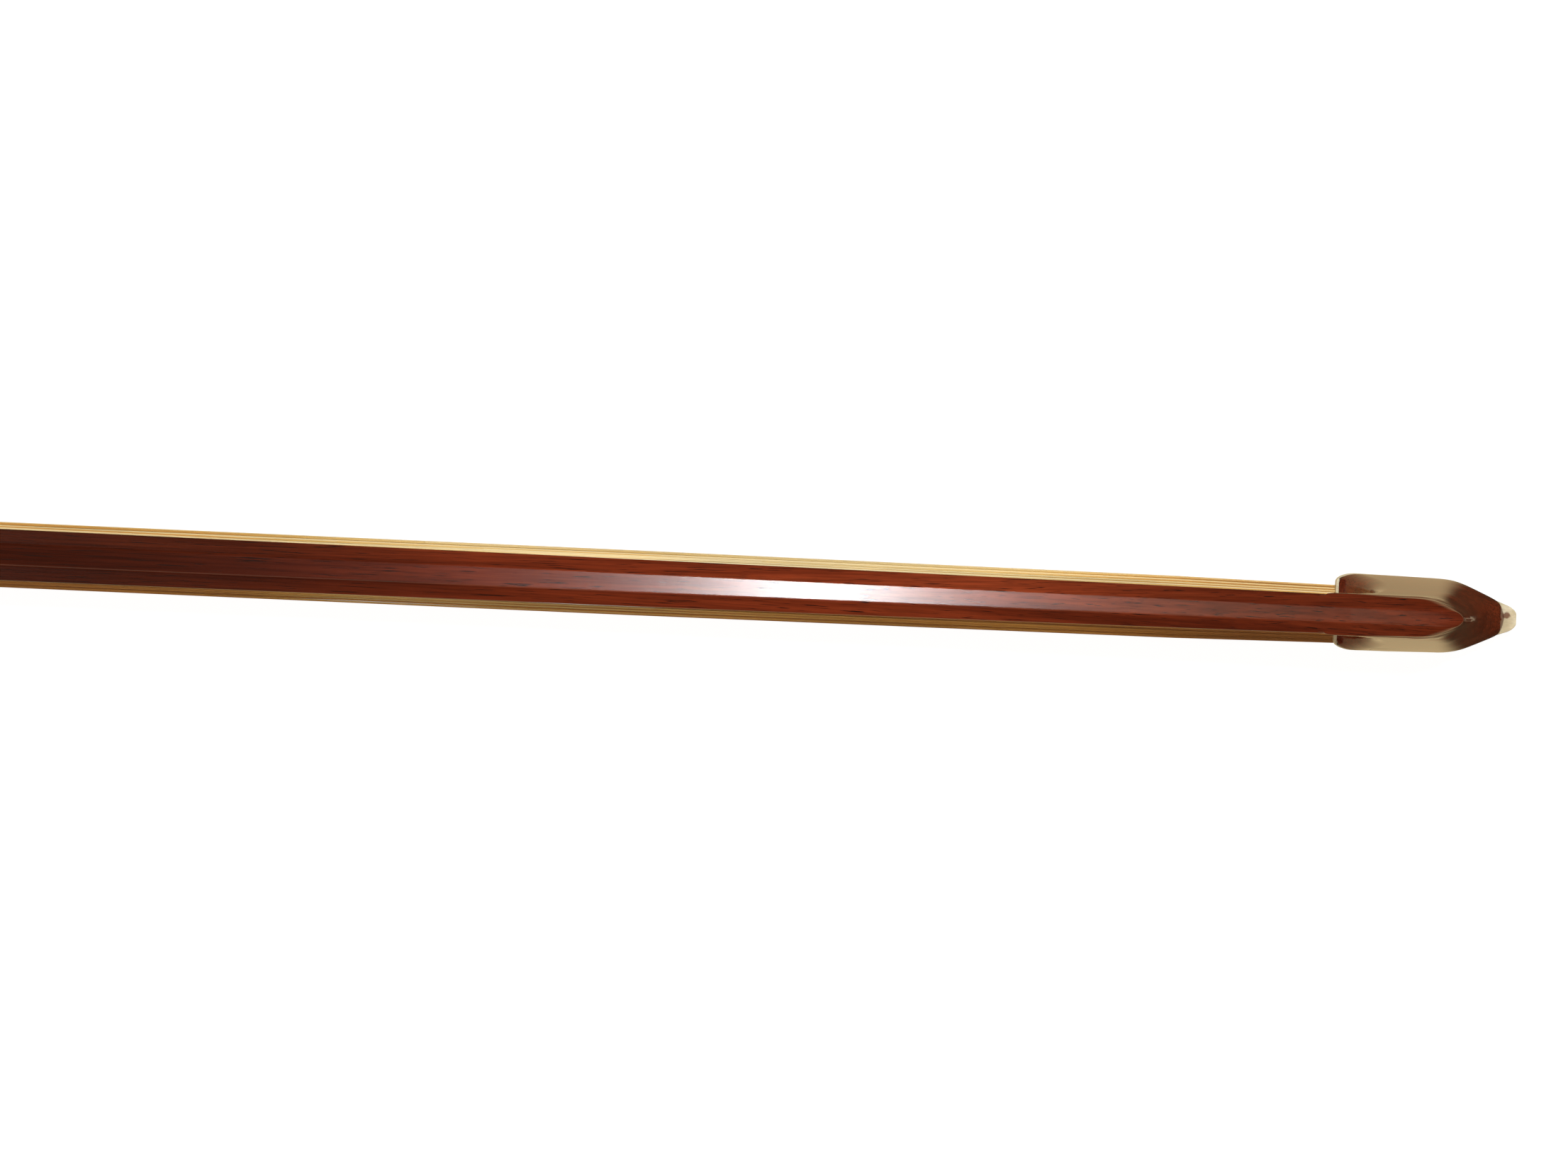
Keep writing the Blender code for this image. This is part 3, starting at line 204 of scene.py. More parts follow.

# The wood's painted light and shade along the bow as (X, share), darkest near X 0.165 and brightest near X
# 0.255
PAINTED_LIGHT_TOP = 1.6
PAINTED_LIGHT_ALONG = [
    (-0.36, 0.55), (-0.10, 0.70), (0.08, 0.50), (0.165, 0.41), (0.195, 0.55), (0.212, 0.88), (0.232, 1.40),
    (0.255, 1.60), (0.290, 1.52), (0.312, 1.25), (0.330, 1.04), (0.374, 0.95),
]

# The stain on the plate's beak, as X, Y and radius
STAIN = (0.3722, 0.0008, 0.0010)


# Meshes


def place_object(name, data):
    made = bpy.data.objects.new(name, data)
    bpy.context.scene.collection.objects.link(made)
    return made


@contextlib.contextmanager
def editing(mesh):
    """A mesh opened for editing, and written back afterwards."""
    bm = bmesh.new()
    bm.from_mesh(mesh)
    yield bm
    bm.to_mesh(mesh)
    bm.free()


def mesh_piece(name, points, faces, smooth=True):
    mesh = bpy.data.meshes.new(name)
    mesh.from_pydata([tuple(p) for p in points], [], faces)
    mesh.polygons.foreach_set("use_smooth", [smooth] * len(mesh.polygons))
    mesh.update()
    return place_object(name, mesh)


def ring_faces(rows, count, offset=0, closed_rows=False):
    faces = []
    last = rows if closed_rows else rows - 1
    for r in range(last):
        a = offset + r * count
        b = offset + (r + 1) % rows * count
        for i in range(count):
            j = (i + 1) % count
            faces.append((a + i, b + i, b + j, a + j))
    return faces


def loft(name, rings, caps=True):
    """A skin over rings of equal count; its ends are flat polygons."""
    rings = [np.asarray(ring) for ring in rings]
    count = len(rings[0])
    faces = tube_faces(len(rings), count) if caps else ring_faces(len(rings), count)
    made = mesh_piece(name, np.concatenate(rings), faces)
    made.data.set_sharp_from_angle(angle=math.radians(50))
    return made


def turned(name, profile, start, direction):
    """A closed profile of (radius, height) turned about an axis."""
    turn = Vector(direction).normalized().to_track_quat("Z", "Y").to_matrix()
    frame_at = Matrix.Translation(start) @ turn.to_4x4()
    angles = [2 * math.pi * k / TURNED_SIDES for k in range(TURNED_SIDES)]
    rings = []
    for radius, height in profile:
        rings.append([
            frame_at @ Vector((radius * math.cos(a), radius * math.sin(a), height)) for a in angles
        ])
    hollow = profile[0][0] > 0
    faces = ring_faces(len(profile), TURNED_SIDES, closed_rows=hollow)
    made = mesh_piece(name, np.array(rings).reshape(-1, 3), faces)
    weld(made, 1e-7)
    return made


def weld(obj, reach):
    """Joins points that lie together and turns all faces outward."""
    with editing(obj.data) as bm:
        bmesh.ops.remove_doubles(bm, verts=bm.verts, dist=reach)
        bmesh.ops.recalc_face_normals(bm, faces=bm.faces)


def bake(obj):
    """Replaces an object's mesh by its evaluated one and drops the modifiers."""
    bpy.context.view_layer.update()
    graph = bpy.context.evaluated_depsgraph_get()
    mesh = bpy.data.meshes.new_from_object(obj.evaluated_get(graph))
    obj.modifiers.clear()
    obj.data = mesh
    return obj


def copy_of(node, name):
    """A welded copy of a CAD node's mesh as a new object."""
    made = place_object(name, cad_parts[node].data.copy())
    with editing(made.data) as bm:
        bmesh.ops.remove_doubles(bm, verts=bm.verts, dist=1e-6)
    made.data.materials.clear()
    return made


def drop_normals(mesh):
    """Removes the normals that came with a CAD mesh."""
    if "custom_normal" in mesh.attributes:
        mesh.attributes.remove(mesh.attributes["custom_normal"])


def slice_at(obj, x, keep_front):
    """Cuts a mesh across the bow and closes the cut."""
    with editing(obj.data) as bm:
        everything = bm.verts[:] + bm.edges[:] + bm.faces[:]
        cut = bmesh.ops.bisect_plane(
            bm, geom=everything, plane_co=(x, 0, 0), plane_no=(1, 0, 0),
            clear_inner=keep_front, clear_outer=not keep_front,
        )
        edges = [e for e in cut["geom_cut"] if isinstance(e, bmesh.types.BMEdge)]
        bmesh.ops.holes_fill(bm, edges=edges)
        bmesh.ops.recalc_face_normals(bm, faces=bm.faces)


def soften(obj, width, segments=3):
    """Rounds the edges of a mesh with plain flat faces."""
    join = obj.modifiers.new("weld", "WELD")
    join.merge_threshold = 1e-6
    bevel = obj.modifiers.new("edges", "BEVEL")
    bevel.width = width
    bevel.segments = segments
    bevel.limit_method = "ANGLE"
    bevel.angle_limit = math.radians(30)
    bevel.harden_normals = True
    return obj


# Curves of the stick and the head, on arrays


def smooth_curve(points, value):
    """The CAD's smooth curve through (value, result) points, on an array."""
    fine_in, fine_out = [points[0][0]], [points[0][1]]
    for k in range(len(points) - 1):
        (a, p), (b, q) = points[k], points[k + 1]
        before = points[max(k - 1, 0)]
        after = points[min(k + 2, len(points) - 1)]
        slope_a = (q - before[1]) / (b - before[0])
        slope_b = (after[1] - p) / (after[0] - a)
        for t in np.linspace(0, 1, 25)[1:]:
            fine_in.append(a + (b - a) * t)
            fine_out.append(
                p * (2 * t**3 - 3 * t**2 + 1) + slope_a * (b - a) * (t**3 - 2 * t**2 + t)
                + q * (3 * t**2 - 2 * t**3) + slope_b * (b - a) * (t**3 - t**2)
            )
    return np.interp(value, fine_in, fine_out)


def stick_width(x):
    run = THROAT_X - HANDLE_END_X
    left = np.clip(THROAT_X - x, 0, run)
    share = np.log(1 + left / TAPER_KNEE) / math.log(1 + run / TAPER_KNEE)
    return TIP_WIDTH + (HANDLE_WIDTH - TIP_WIDTH) * share


def stick_axis(x):
    run = THROAT_X - HANDLE_END_X
    u = np.maximum((x - HANDLE_END_X) / run, 0)
    level = AXIS_Z + (TIP_AXIS_Z - AXIS_Z) * np.minimum(u, 1) ** 2
    slope = (2 * (TIP_AXIS_Z - AXIS_Z) + CAMBER * CAMBER_SCALE) / run
    past = TIP_AXIS_Z + slope * (x - THROAT_X)
    return np.where(u <= 1, level - CAMBER * CAMBER_SCALE * u**2 * (1 - u), past)


def plate_underside(d):
    nose = np.maximum(1 - d / NOSE_CURVE_LENGTH, 0)
    rise_start = HEAD_LENGTH - REAR_LIP_LENGTH - REAR_CURVE_LENGTH
    rear = np.clip((d - rise_start) / REAR_CURVE_LENGTH, 0, 1)
    return NOSE_RISE * nose**2 + REAR_RISE * rear**2 * (3 - 2 * rear)


def plate_half_width(d):
    flank = PLATE_WIDTH / 2 * (1 - FLANK_DRAW_IN * (1 - d / HEAD_LENGTH))
    wedge = PLATE_WIDTH / 2 * (PLATE_NOSE_SHARE + PLATE_FLARE * d / HEAD_LENGTH)
    soft = PLATE_WIDTH * PLATE_SOFTNESS
    half = (flank + wedge - np.sqrt((flank - wedge) ** 2 + soft**2)) / 2
    corner = np.maximum(d - (HEAD_LENGTH - CORNER_LENGTH), 0) / CORNER_LENGTH
    half = half - CORNER_DEPTH * (1 - np.sqrt(np.maximum(1 - corner**2, 0)))
    beak = np.minimum(d / (BEAK_ROUND_SHARE * BEAK_LENGTH), 1)
    return half * (BEAK_TIP_SHARE + (1 - BEAK_TIP_SHARE) * np.sqrt(1 - (1 - beak) ** 2))


def head_lean(z):
    """The head leans a little to one side towards its face plate."""
    return HEAD_LEAN * np.clip((HEAD_LEAN_TOP - z) / HEAD_LEAN_TOP, 0, 1)


def lean_piece(obj):
    for vert in obj.data.vertices:
        vert.co.y += float(head_lean(vert.co.z))


def smooth_max(values, radius):
    values = np.array(values)
    top = values.max(axis=0)
    return top + radius * np.log(np.exp((values - top) / radius).sum(axis=0))


def smooth_min(a, b, reach):
    h = np.clip(0.5 + 0.5 * (b - a) / reach, 0, 1)
    return b + (a - b) * h - reach * h * (1 - h)


# The smooth head


def shaft_field(p):
    x, y, z = p.T
    half = stick_width(x) / 2
    up = z - stick_axis(x)
    angles = [k * math.pi / 4 for k in range(8)]
    sides = [y * math.cos(a) + up * math.sin(a) - half for a in angles]
    return smooth_max(sides, SHAFT_ROUND)


def cheek_field(p):
    x, y, z = p.T
    share = np.clip((z - CHEEK_BASE_Z) / (CHEEK_TOP_Z - CHEEK_BASE_Z), 0, 1)
    half = PLATE_WIDTH / 2 + (TIP_WIDTH / 2 - PLATE_WIDTH / 2) * share
    narrow = half / (PLATE_WIDTH / 2)
    rear = NOSE_X - HEAD_LENGTH + smooth_curve(THROAT_CURVE, z)
    along = x - rear
    draw = FLANK_DRAW_IN * (1 - share) * np.clip(along / HEAD_LENGTH, 0, 1)
    corner_x, corner_y = CORNER_LENGTH * narrow, CORNER_DEPTH * narrow
    inside = np.clip((corner_x - along) / corner_x, 0, 1)
    round_off = corner_y * (1 - np.sqrt(1 - inside**2))
    side = np.abs(y) - half * (1 - draw) + round_off
    return smooth_max([side, -along * REAR_STEEPNESS, z - CHEEK_ROOF_Z], CHEEK_ROUND)


def front_field(p):
    x, y, z = p.T
    back = NOSE_X - smooth_curve(FRONT_CURVE, z) - x
    behind = np.maximum(back, 0)
    share = np.clip((z - CHEEK_BASE_Z) / (HEAD_HEIGHT - CHEEK_BASE_Z), 0, 1)
    blunt = PLATE_WIDTH * (FACET_BLUNT_LOW + (FACET_BLUNT_HIGH - FACET_BLUNT_LOW) * share)
    spread = FACET_SPREAD_LOW + (FACET_SPREAD_HIGH - FACET_SPREAD_LOW) * share
    low = blunt * (1 - np.exp(-behind / NOSE_BLUNT_RUN)) + spread * back
    pointed = OGIVE * np.sqrt(behind * OGIVE_UNIT) + OGIVE_TAPER * back
    high = np.where(back > 0, pointed, spread * back)
    blend = np.clip((share - FRONT_BLEND_START) / (1 - FRONT_BLEND_START), 0, 1)
    blend = blend * blend * (3 - 2 * blend)
    inner = low + (high - low) * blend
    return (np.sqrt(y**2 + NOSE_EDGE**2) - NOSE_EDGE - inner) / np.sqrt(1 + spread**2)


def base_field(p):
    return plate_underside(NOSE_X - p[:, 0]) + WOOD_BASE - p[:, 2]


def head_field(p):
    """Below 0 inside the smooth head and above 0 outside it."""
    leaned = p.copy()
    leaned[:, 1] -= head_lean(p[:, 2])
    reach = np.interp(p[:, 0], *np.array(FILLET).T)
    body = smooth_min(shaft_field(leaned), cheek_field(leaned), reach)
    front = smooth_max([body, front_field(leaned)], NOSE_ROUND)
    return smooth_max([front, base_field(leaned)], BASE_ROUND)


def field_slope(p):
    slope = np.empty_like(p)
    for axis in range(3):
        shift = np.zeros(3)
        shift[axis] = FIELD_STEP
        slope[:, axis] = (head_field(p + shift) - head_field(p - shift)) / (2 * FIELD_STEP)
    return slope


def read_points(mesh):
    points = np.empty(len(mesh.vertices) * 3, np.float32)
    mesh.vertices.foreach_get("co", points)
    return points.reshape(-1, 3).astype(float)


def write_points(mesh, points):
    mesh.vertices.foreach_set("co", points.astype(np.float32).ravel())
    mesh.update()


def settle(points, free):
    """Moves points onto the head's surface, a short step at a time."""
    moving = points[free]
    lap = np.clip((HEAD_CUT_X + HEAD_LAP - moving[:, 0]) / HEAD_LAP, 0, 1)
    value = head_field(moving) + HEAD_SINK * lap
    slope = field_slope(moving)
    steepness = np.maximum((slope**2).sum(axis=1), LEAST_STEEPNESS)
    step = -slope * (value / steepness)[:, None]
    length = np.maximum(np.linalg.norm(step, axis=1), TINY)
    points[free] = moving + step * np.minimum(1, LONGEST_STEP / length)[:, None]


def even_out(points, pairs, free):
    """Moves points halfway to the middle of their neighbours."""
    total = np.zeros_like(points)
    for a, b in (pairs.T, pairs.T[::-1]):
        for axis in range(3):
            total[:, axis] += np.bincount(a, weights=points[b, axis], minlength=len(points))
    count = np.bincount(pairs.ravel(), minlength=len(points))
    middle = total / np.maximum(count, 1)[:, None]
    points[free] += 0.5 * (middle[free] - points[free])


def near_mortise(points):
    """True for the points of the hair's mortise, which stay as the CAD has them."""
    d = NOSE_X - points[:, 0]
    return (
        (d > HEAD_MORTISE_FRONT - MORTISE_MARGIN) & (d < HEAD_MORTISE_REAR + MORTISE_MARGIN)
        & (np.abs(points[:, 1]) < HEAD_MORTISE_HALF + 2 * MORTISE_MARGIN)
        & (points[:, 2] < HEAD_MORTISE_DEPTH + 1.5 * MORTISE_MARGIN)
    )


def shade_by_field(mesh, points, free):
    """Gives the moved points the normals of the smooth surface itself."""
    normals = np.empty(len(points) * 3, np.float32)
    mesh.vertex_normals.foreach_get("vector", normals)
    normals = normals.reshape(-1, 3).astype(float)
    slope = field_slope(points[free])
    normals[free] = slope / np.maximum(np.linalg.norm(slope, axis=1), TINY)[:, None]
    mesh.polygons.foreach_set("use_smooth", [True] * len(mesh.polygons))
    mesh.normals_split_custom_set_from_vertices([tuple(n) for n in normals])


def make_head():
    """The CAD's head in a fine mesh, moved onto the smooth head's surface."""
    head = copy_of("stick", "head_wood")
    slice_at(head, HEAD_CUT_X - HEAD_LAP, keep_front=True)
    lean_piece(head)
    head.data.transform(Matrix.Scale(1000, 4))
    remesh = head.modifiers.new("fine", "REMESH")
    remesh.mode = "VOXEL"
    remesh.voxel_size = HEAD_VOXEL_MM
    remesh.use_smooth_shade = True
    bake(head)
    head.data.transform(Matrix.Scale(0.001, 4))
    points = read_points(head.data)
    free = (points[:, 0] > HEAD_CUT_X - HEAD_LAP + CUT_MARGIN) & ~near_mortise(points)
    pairs = np.array([edge.vertices[:] for edge in head.data.edges])
    for rounds in HEAD_ROUNDS:
        for _ in range(rounds):
            settle(points, free)
        even_out(points, pairs, free)
    for _ in range(LAST_ROUNDS):
        settle(points, free)
    write_points(head.data, points)
    shade_by_field(head.data, points, free)
    return head


# The stick


def octagon_ring(x, width, z, arris=ARRIS, steps=6):
    """A rounded octagon across the bow, with an extra point on each flat beside each arris."""
    radius = (width / 2 - arris) / math.cos(math.pi / 8)
    ring = []

    def add_point(cy, cz, a, past):
        along_y = arris * math.cos(a) - past * math.sin(a)
        along_z = arris * math.sin(a) + past * math.cos(a)
        ring.append((x, cy + along_y, z + cz + along_z))

    for k in range(8):
        middle = math.pi / 8 + k * math.pi / 4
        cy, cz = radius * math.cos(middle), radius * math.sin(middle)
        low, high = k * math.pi / 4, (k + 1) * math.pi / 4
        add_point(cy, cz, low, -ARRIS_GUARD)
        for i in range(steps):
            add_point(cy, cz, low + (high - low) * i / (steps - 1), 0)
        add_point(cy, cz, high, ARRIS_GUARD)
    return ring


def make_shaft():
    places = np.linspace(HANDLE_CUT_X, HEAD_CUT_X, 150)
    rings = [octagon_ring(x, float(stick_width(x)), float(stick_axis(x))) for x in places]
    return loft("shaft_wood", rings)


def make_handle():
    handle = copy_of("stick", "handle_wood")
    slice_at(handle, HANDLE_CUT_X, keep_front=False)
    drop_normals(handle.data)
    handle.data.polygons.foreach_set("use_smooth", [False] * len(handle.data.polygons))
    return soften(handle, 0.00035)


def close_ends(made, rows, count):
    """Joins the last ring of a loft to its first and smooths the whole."""
    last = (rows - 1) * count
    with editing(made.data) as bm:
        bm.verts.ensure_lookup_table()
        for i in range(count):
            j = (i + 1) % count
            bm.faces.new([bm.verts[n] for n in (last + i, i, j, last + j)])
        bmesh.ops.recalc_face_normals(bm, faces=bm.faces)
    made.data.polygons.foreach_set("use_smooth", [True] * len(made.data.polygons))


def make_leather():
    """A glued leather strip round the thumb's place, skived thin at its ends."""
    low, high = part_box("thumb_leather")
    front, rear = high.x - SKIVE, low.x + SKIVE
    places = np.concatenate([
        np.linspace(low.x, rear, 8), np.linspace(rear + 0.0010, front - 0.0010, 60),
        np.linspace(front, high.x, 8),
    ])
    rings = []
    for x in places:
        end = min(x - low.x, high.x - x) / SKIVE
        wall = LEATHER_THIN + LEATHER_MORE * math.sqrt(max(1 - max(1 - end, 0) ** 2, 0))
        width = float(stick_width(x)) + 0.0002 + 2 * wall
        rings.append(octagon_ring(x, width, float(stick_axis(x)), LEATHER_ARRIS, steps=8))
    for x in (places[-1], places[0]):
        rings.append(octagon_ring(x, float(stick_width(x)) + 0.00004, float(stick_axis(x)), steps=8))
    made = loft("leather_grip", rings, caps=False)
    close_ends(made, len(rings), len(rings[0]))
    return made


def flats_reach(angle, half, arris):
    """How far a rounded octagon reaches from its axis in a direction."""
    away = angle - np.round(angle / (math.pi / 4)) * (math.pi / 4)
    flat = half / np.cos(away)
    corner = (half - arris) / math.cos(math.pi / 8)
    toward = math.pi / 8 - np.abs(away)
    aside = corner * np.sin(toward)
    rounded = corner * np.cos(toward) + np.sqrt(np.maximum(arris**2 - aside**2, 0))
    on_corner = aside < arris * math.sin(math.pi / 8)
    return np.minimum(np.where(on_corner, rounded, flat), flat)


def make_lapping():
    """The winding as one real coil of wire that lies on the stick's flats."""
    low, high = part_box("wire_lapping")
    start, end = low.x + WIRE_RADIUS, high.x - WIRE_RADIUS
    pitch = 2.04 * WIRE_RADIUS
    turns = int((end - start) / pitch)
    per_turn = 24
    t = np.linspace(0, 1, turns * per_turn + 1)
    x = start + (end - start) * t
    angle = 2 * math.pi * turns * t
    reach = flats_reach(angle, stick_width(x) / 2, arris=0.0009) + WIRE_RADIUS
    centre = np.stack([x, reach * np.cos(angle), stick_axis(x) + reach * np.sin(angle)], axis=1)
    return tube_piece("silver_lapping", centre, WIRE_RADIUS, 6, np.array([1.0, 0.0, 0.0]))


def tube_points(path, radius, sides, side_hint):
    """Rings of points round a path; side_hint is never along the path."""
    along = np.gradient(path, axis=0)
    along /= np.linalg.norm(along, axis=1)[:, None]
    u = np.cross(along, side_hint)
    u /= np.linalg.norm(u, axis=1)[:, None]
    v = np.cross(along, u)
    angles = 2 * np.pi * np.arange(sides) / sides
    across, up = np.cos(angles)[None, :, None], np.sin(angles)[None, :, None]
    return path[:, None, :] + radius * (across * u[:, None, :] + up * v[:, None, :])


def tube_faces(rows, sides, offset=0):
    """A closed tube's skin and its two ends."""
    faces = ring_faces(rows, sides, offset)
    faces.append(tuple(offset + i for i in range(sides)))
    faces.append(tuple(offset + (rows - 1) * sides + i for i in reversed(range(sides))))
    return faces


def tube_piece(name, path, radius, sides, side_hint):
    points = tube_points(path, radius, sides, side_hint)
    return mesh_piece(name, points.reshape(-1, 3), tube_faces(len(path), sides))


# The hair


def hair_stations():
    """(x, z, slope in degrees, width) from the knot in the head to the knot in the frog."""
    rear = NOSE_X - HEAD_MORTISE_REAR
    turn_up = rear + HAIR_THICKNESS
    ferrule = HEEL_X + FROG_LENGTH
    over = 0.0024
    mortise = ferrule - 0.0150
    head = [
        (turn_up, 0.0042, 90, HAIR_WIDTH_HEAD * 0.74),
        (turn_up, REAR_RISE + 0.0006, 90, HAIR_WIDTH_HEAD * 0.94),
        (turn_up - 0.00005, HAIR_Z + 0.00033, 65, HAIR_WIDTH_HEAD * 0.96),
        (turn_up - 0.0003, HAIR_Z + 0.00009, 35, HAIR_WIDTH_HEAD * 0.98),
        (turn_up - 0.0009, HAIR_Z, 0, HAIR_WIDTH_HEAD),
    ]
    steps = np.concatenate([[0.011, 0.025, 0.041, 0.07], np.linspace(0.10, 1, 32)[:-1]])
    fan = np.interp(steps, *np.array(HAIR_FAN).T)
    start = turn_up - 0.0009
    run = [
        (start + (ferrule - start) * s, HAIR_Z, 0,
         HAIR_WIDTH_HEAD + (HAIR_WIDTH_FROG - HAIR_WIDTH_HEAD) * s + extra)
        for s, extra in zip(steps, fan)
    ]
    frog = [
        (ferrule, HAIR_Z, 0, HAIR_WIDTH_FROG), (ferrule - 0.0065, HAIR_Z, 0, HAIR_WIDTH_FROG),
        (ferrule - 0.0087, (HAIR_Z + over) / 2, -24, HAIR_WIDTH_FROG * 0.95),
        (ferrule - 0.0111, over, 0, HAIR_WIDTH_FROG * 0.85), (mortise, over, 0, 0.0080),
        (mortise - 0.0006, over + 0.0003, -50, 0.0075), (mortise - 0.0008, over + 0.0010, -90, 0.0072),
        (mortise - 0.0008, 0.0070, -90, 0.0062),
    ]
    return np.array(head + run + frog)


def strand_path(draw, n, stations, run):
    """One hair's path, and its place across the band from -1 to 1.

    It wanders between head and ferrule, and the less the nearer it lies to the band's rim.
    """
    x, z, slope, width = stations.T
    lean = np.radians(slope)
    first, last = run[4], run[-8]
    loose = np.sin(np.pi * np.clip((run - first) / (last - first), 0, 1))
    place = (n + 0.5) / HAIR_COUNT * 2 - 1 + draw.normal(0, HAIR_SCATTER)
    place = np.clip(place, -HAIR_RIM_START, HAIR_RIM_START)
    layer = draw.uniform(-1, 1) * HAIR_LAYERS
    wander = sum(
        draw.normal(0, HAIR_WANDER) * np.sin(2 * np.pi * (k * run / run[-1]) + draw.uniform(0, 6.28))
        for k in HAIR_WAVES
    )
    calm = np.clip((1 - abs(place)) / 0.10, 0.12, 1)
    across = np.clip(place + wander * loose * calm, -HAIR_RIM, HAIR_RIM)
    rise = layer + draw.normal(0, HAIR_RISE) * loose * np.sin(run * draw.uniform(20, 60))
    rise = np.clip(rise, -HAIR_LAYERS, HAIR_LAYERS)
    sideways = across * (width / 2 - HAIR_RADIUS)
    return np.stack([x - np.sin(lean) * rise, sideways, z + np.cos(lean) * rise], axis=1), place


def strand_tones(draw, x, place):
    """One hair's tone at each station: its own tone, with painted shade on the band's -Y side and painted
    light on its +Y side.
    """
    low_side, high_side = (np.clip((side * place - SIDE_START) / SIDE_RUN, 0, 1) for side in (-1, 1))
    painted_shade = np.interp(x, *np.array(HAIR_PAINTED_SHADE).T)
    painted_light = np.interp(x, *np.array(HAIR_PAINTED_LIGHT).T)
    tone = draw.uniform(0, 1) * (1 - painted_shade * low_side)
    return np.repeat(tone + (1 - tone) * painted_light * high_side, HAIR_SIDES)


def make_hair():
    """Every hair is its own fine strand, which wanders a little inside the flat band."""
    draw = np.random.default_rng(SEED)
    stations = hair_stations()
    x, z = stations.T[:2]
    run = np.concatenate([[0], np.cumsum(np.hypot(np.diff(x), np.diff(z)))])
    rows = len(stations)
    all_points, faces, tones = [], [], []
    for n in range(HAIR_COUNT):
        strand, place = strand_path(draw, n, stations, run)
        points = tube_points(strand, HAIR_RADIUS, HAIR_SIDES, np.array([0.0, 1.0, 0.0]))
        faces += tube_faces(rows, HAIR_SIDES, n * rows * HAIR_SIDES)
        all_points.append(points.reshape(-1, 3))
        tones.append(strand_tones(draw, x, place))
    hair = mesh_piece("bow_hair", np.concatenate(all_points), faces)
    # Each point's tone holds the strand's own tone with the painted shade and light of the band's sides
    tone = hair.data.attributes.new("tone", "FLOAT", "POINT")
    tone.data.foreach_set("value", np.concatenate(tones))
    return hair


# The face plate


def plate_ring(d, low, high, edge, inset=0.0):
    """A rounded slab section across the head at a distance behind the nose."""
    half = float(plate_half_width(d)) - inset
    base = float(plate_underside(d))
    x = NOSE_X - d
    corners = [(half, low, -90), (half, high, 0), (-half, high, 90), (-half, low, 180)]
    ring = []
    for y, z, start in corners:
        cy = y - math.copysign(edge, y)
        cz = z + (edge if z == low else -edge)
        for i in range(5):
            a = math.radians(start + 90 * i / 4)
            py, pz = cy + edge * math.cos(a), cz + edge * math.sin(a)
            ring.append((x, py + float(head_lean(base + pz)), base + pz))
    return ring


def mortise_cutter():
    """A block through the head's mortise, narrower at its top."""
    mesh = bpy.data.meshes.new("mortise_cutter")
    middle = NOSE_X - (HEAD_MORTISE_FRONT + HEAD_MORTISE_REAR) / 2
    with editing(mesh) as bm:
        for vert in bmesh.ops.create_cube(bm, size=1)["verts"]:
            narrow = 0.8 if vert.co.z > 0 else 1.0
            vert.co.x = middle + vert.co.x * (HEAD_MORTISE_REAR - HEAD_MORTISE_FRONT)
            vert.co.y = vert.co.y * 2 * HEAD_MORTISE_HALF * narrow + HEAD_LEAN
            vert.co.z = -0.002 if vert.co.z < 0 else HEAD_MORTISE_DEPTH
    return place_object("mortise_cutter", mesh)


def make_plate_layer(name, front, low, high, edge, inset=0.0):
    """One layer of the face plate, between two heights over its underside."""
    steps = (1 - np.cos(np.linspace(0, np.pi, 60))) / 2
    places = front + (HEAD_LENGTH - 0.00002 - 2.5 * inset - front) * steps
    plate = loft(name, [plate_ring(d, low, high, edge, inset) for d in places])
    cutter = mortise_cutter()
    trim = plate.modifiers.new("mortise", "BOOLEAN")
    trim.operation = "DIFFERENCE"
    trim.object = cutter
    bake(plate)
    bpy.data.objects.remove(cutter, do_unlink=True)
    plate.data.set_sharp_from_angle(angle=math.radians(40))
    return plate


# Frog and button details


def make_frog_body():
    """The frog's block with softly worn edges and flat sides."""
    body = copy_of("frog_body", "ebony_frog")
    soften(body, 0.00022)
    body.modifiers["edges"].harden_normals = False
    bake(body)
    drop_normals(body.data)
    body.data.polygons.foreach_set("use_smooth", [True] * len(body.data.polygons))
    body.data.set_sharp_from_angle(angle=math.radians(12))
    return body


def d_outline(half, low, high, middle, corner):
    """The ferrule's outline: flat below with round corners, one arch above."""
    points = []
    for i in range(41):
        a = math.pi * i / 40
        points.append((half * math.cos(a), middle + (high - middle) * math.sin(a)))
    for side in (-1, 1):
        for i in range(7):
            a = math.pi / 2 * (i / 6 if side < 0 else 1 - i / 6)
            reach = half - corner + corner * math.cos(a)
            points.append((side * reach, low + corner - corner * math.sin(a)))
    return points


def make_ferrule():
    """The D-shaped ring, its profile as (X, inset) round the wall of the ring."""
    low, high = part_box("ferrule")
    half, top = high.y, high.z
    wall, lip, bend = 0.00035, 0.00012, 0.00004
    middle = top * 0.30
    profile = [
        (low.x, lip), (low.x + 0.00005, bend), (low.x + 0.00016, 0.0), (high.x - 0.00016, 0.0),
        (high.x - 0.00005, bend), (high.x, lip), (high.x, wall - lip), (high.x - 0.00008, wall),
        (low.x + 0.00008, wall), (low.x, wall - lip),
    ]
    rings = []
    for x, inset in profile:
        corner = 0.0008 if inset < wall / 2 else 0.0005
        outline = d_outline(half - inset, inset, top - inset, middle, corner)
        rings.append([(x, y, z) for y, z in outline])
    faces = ring_faces(len(rings), len(rings[0]), closed_rows=True)
    made = mesh_piece("silver_ferrule", np.array(rings).reshape(-1, 3), faces)
    weld(made, 1e-8)
    return made


def eye_place(node):
    """An eye's centre on the frog's side, and the outward direction there."""
    points = read_points(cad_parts[node].data)
    centre = points.mean(axis=0)
    shift = points - centre
    out = np.linalg.svd(shift, full_matrices=False)[2][2]
    out = out * np.sign(out[1]) * np.sign(centre[1])
    height = (shift @ out).max()
    return centre + out * height, out


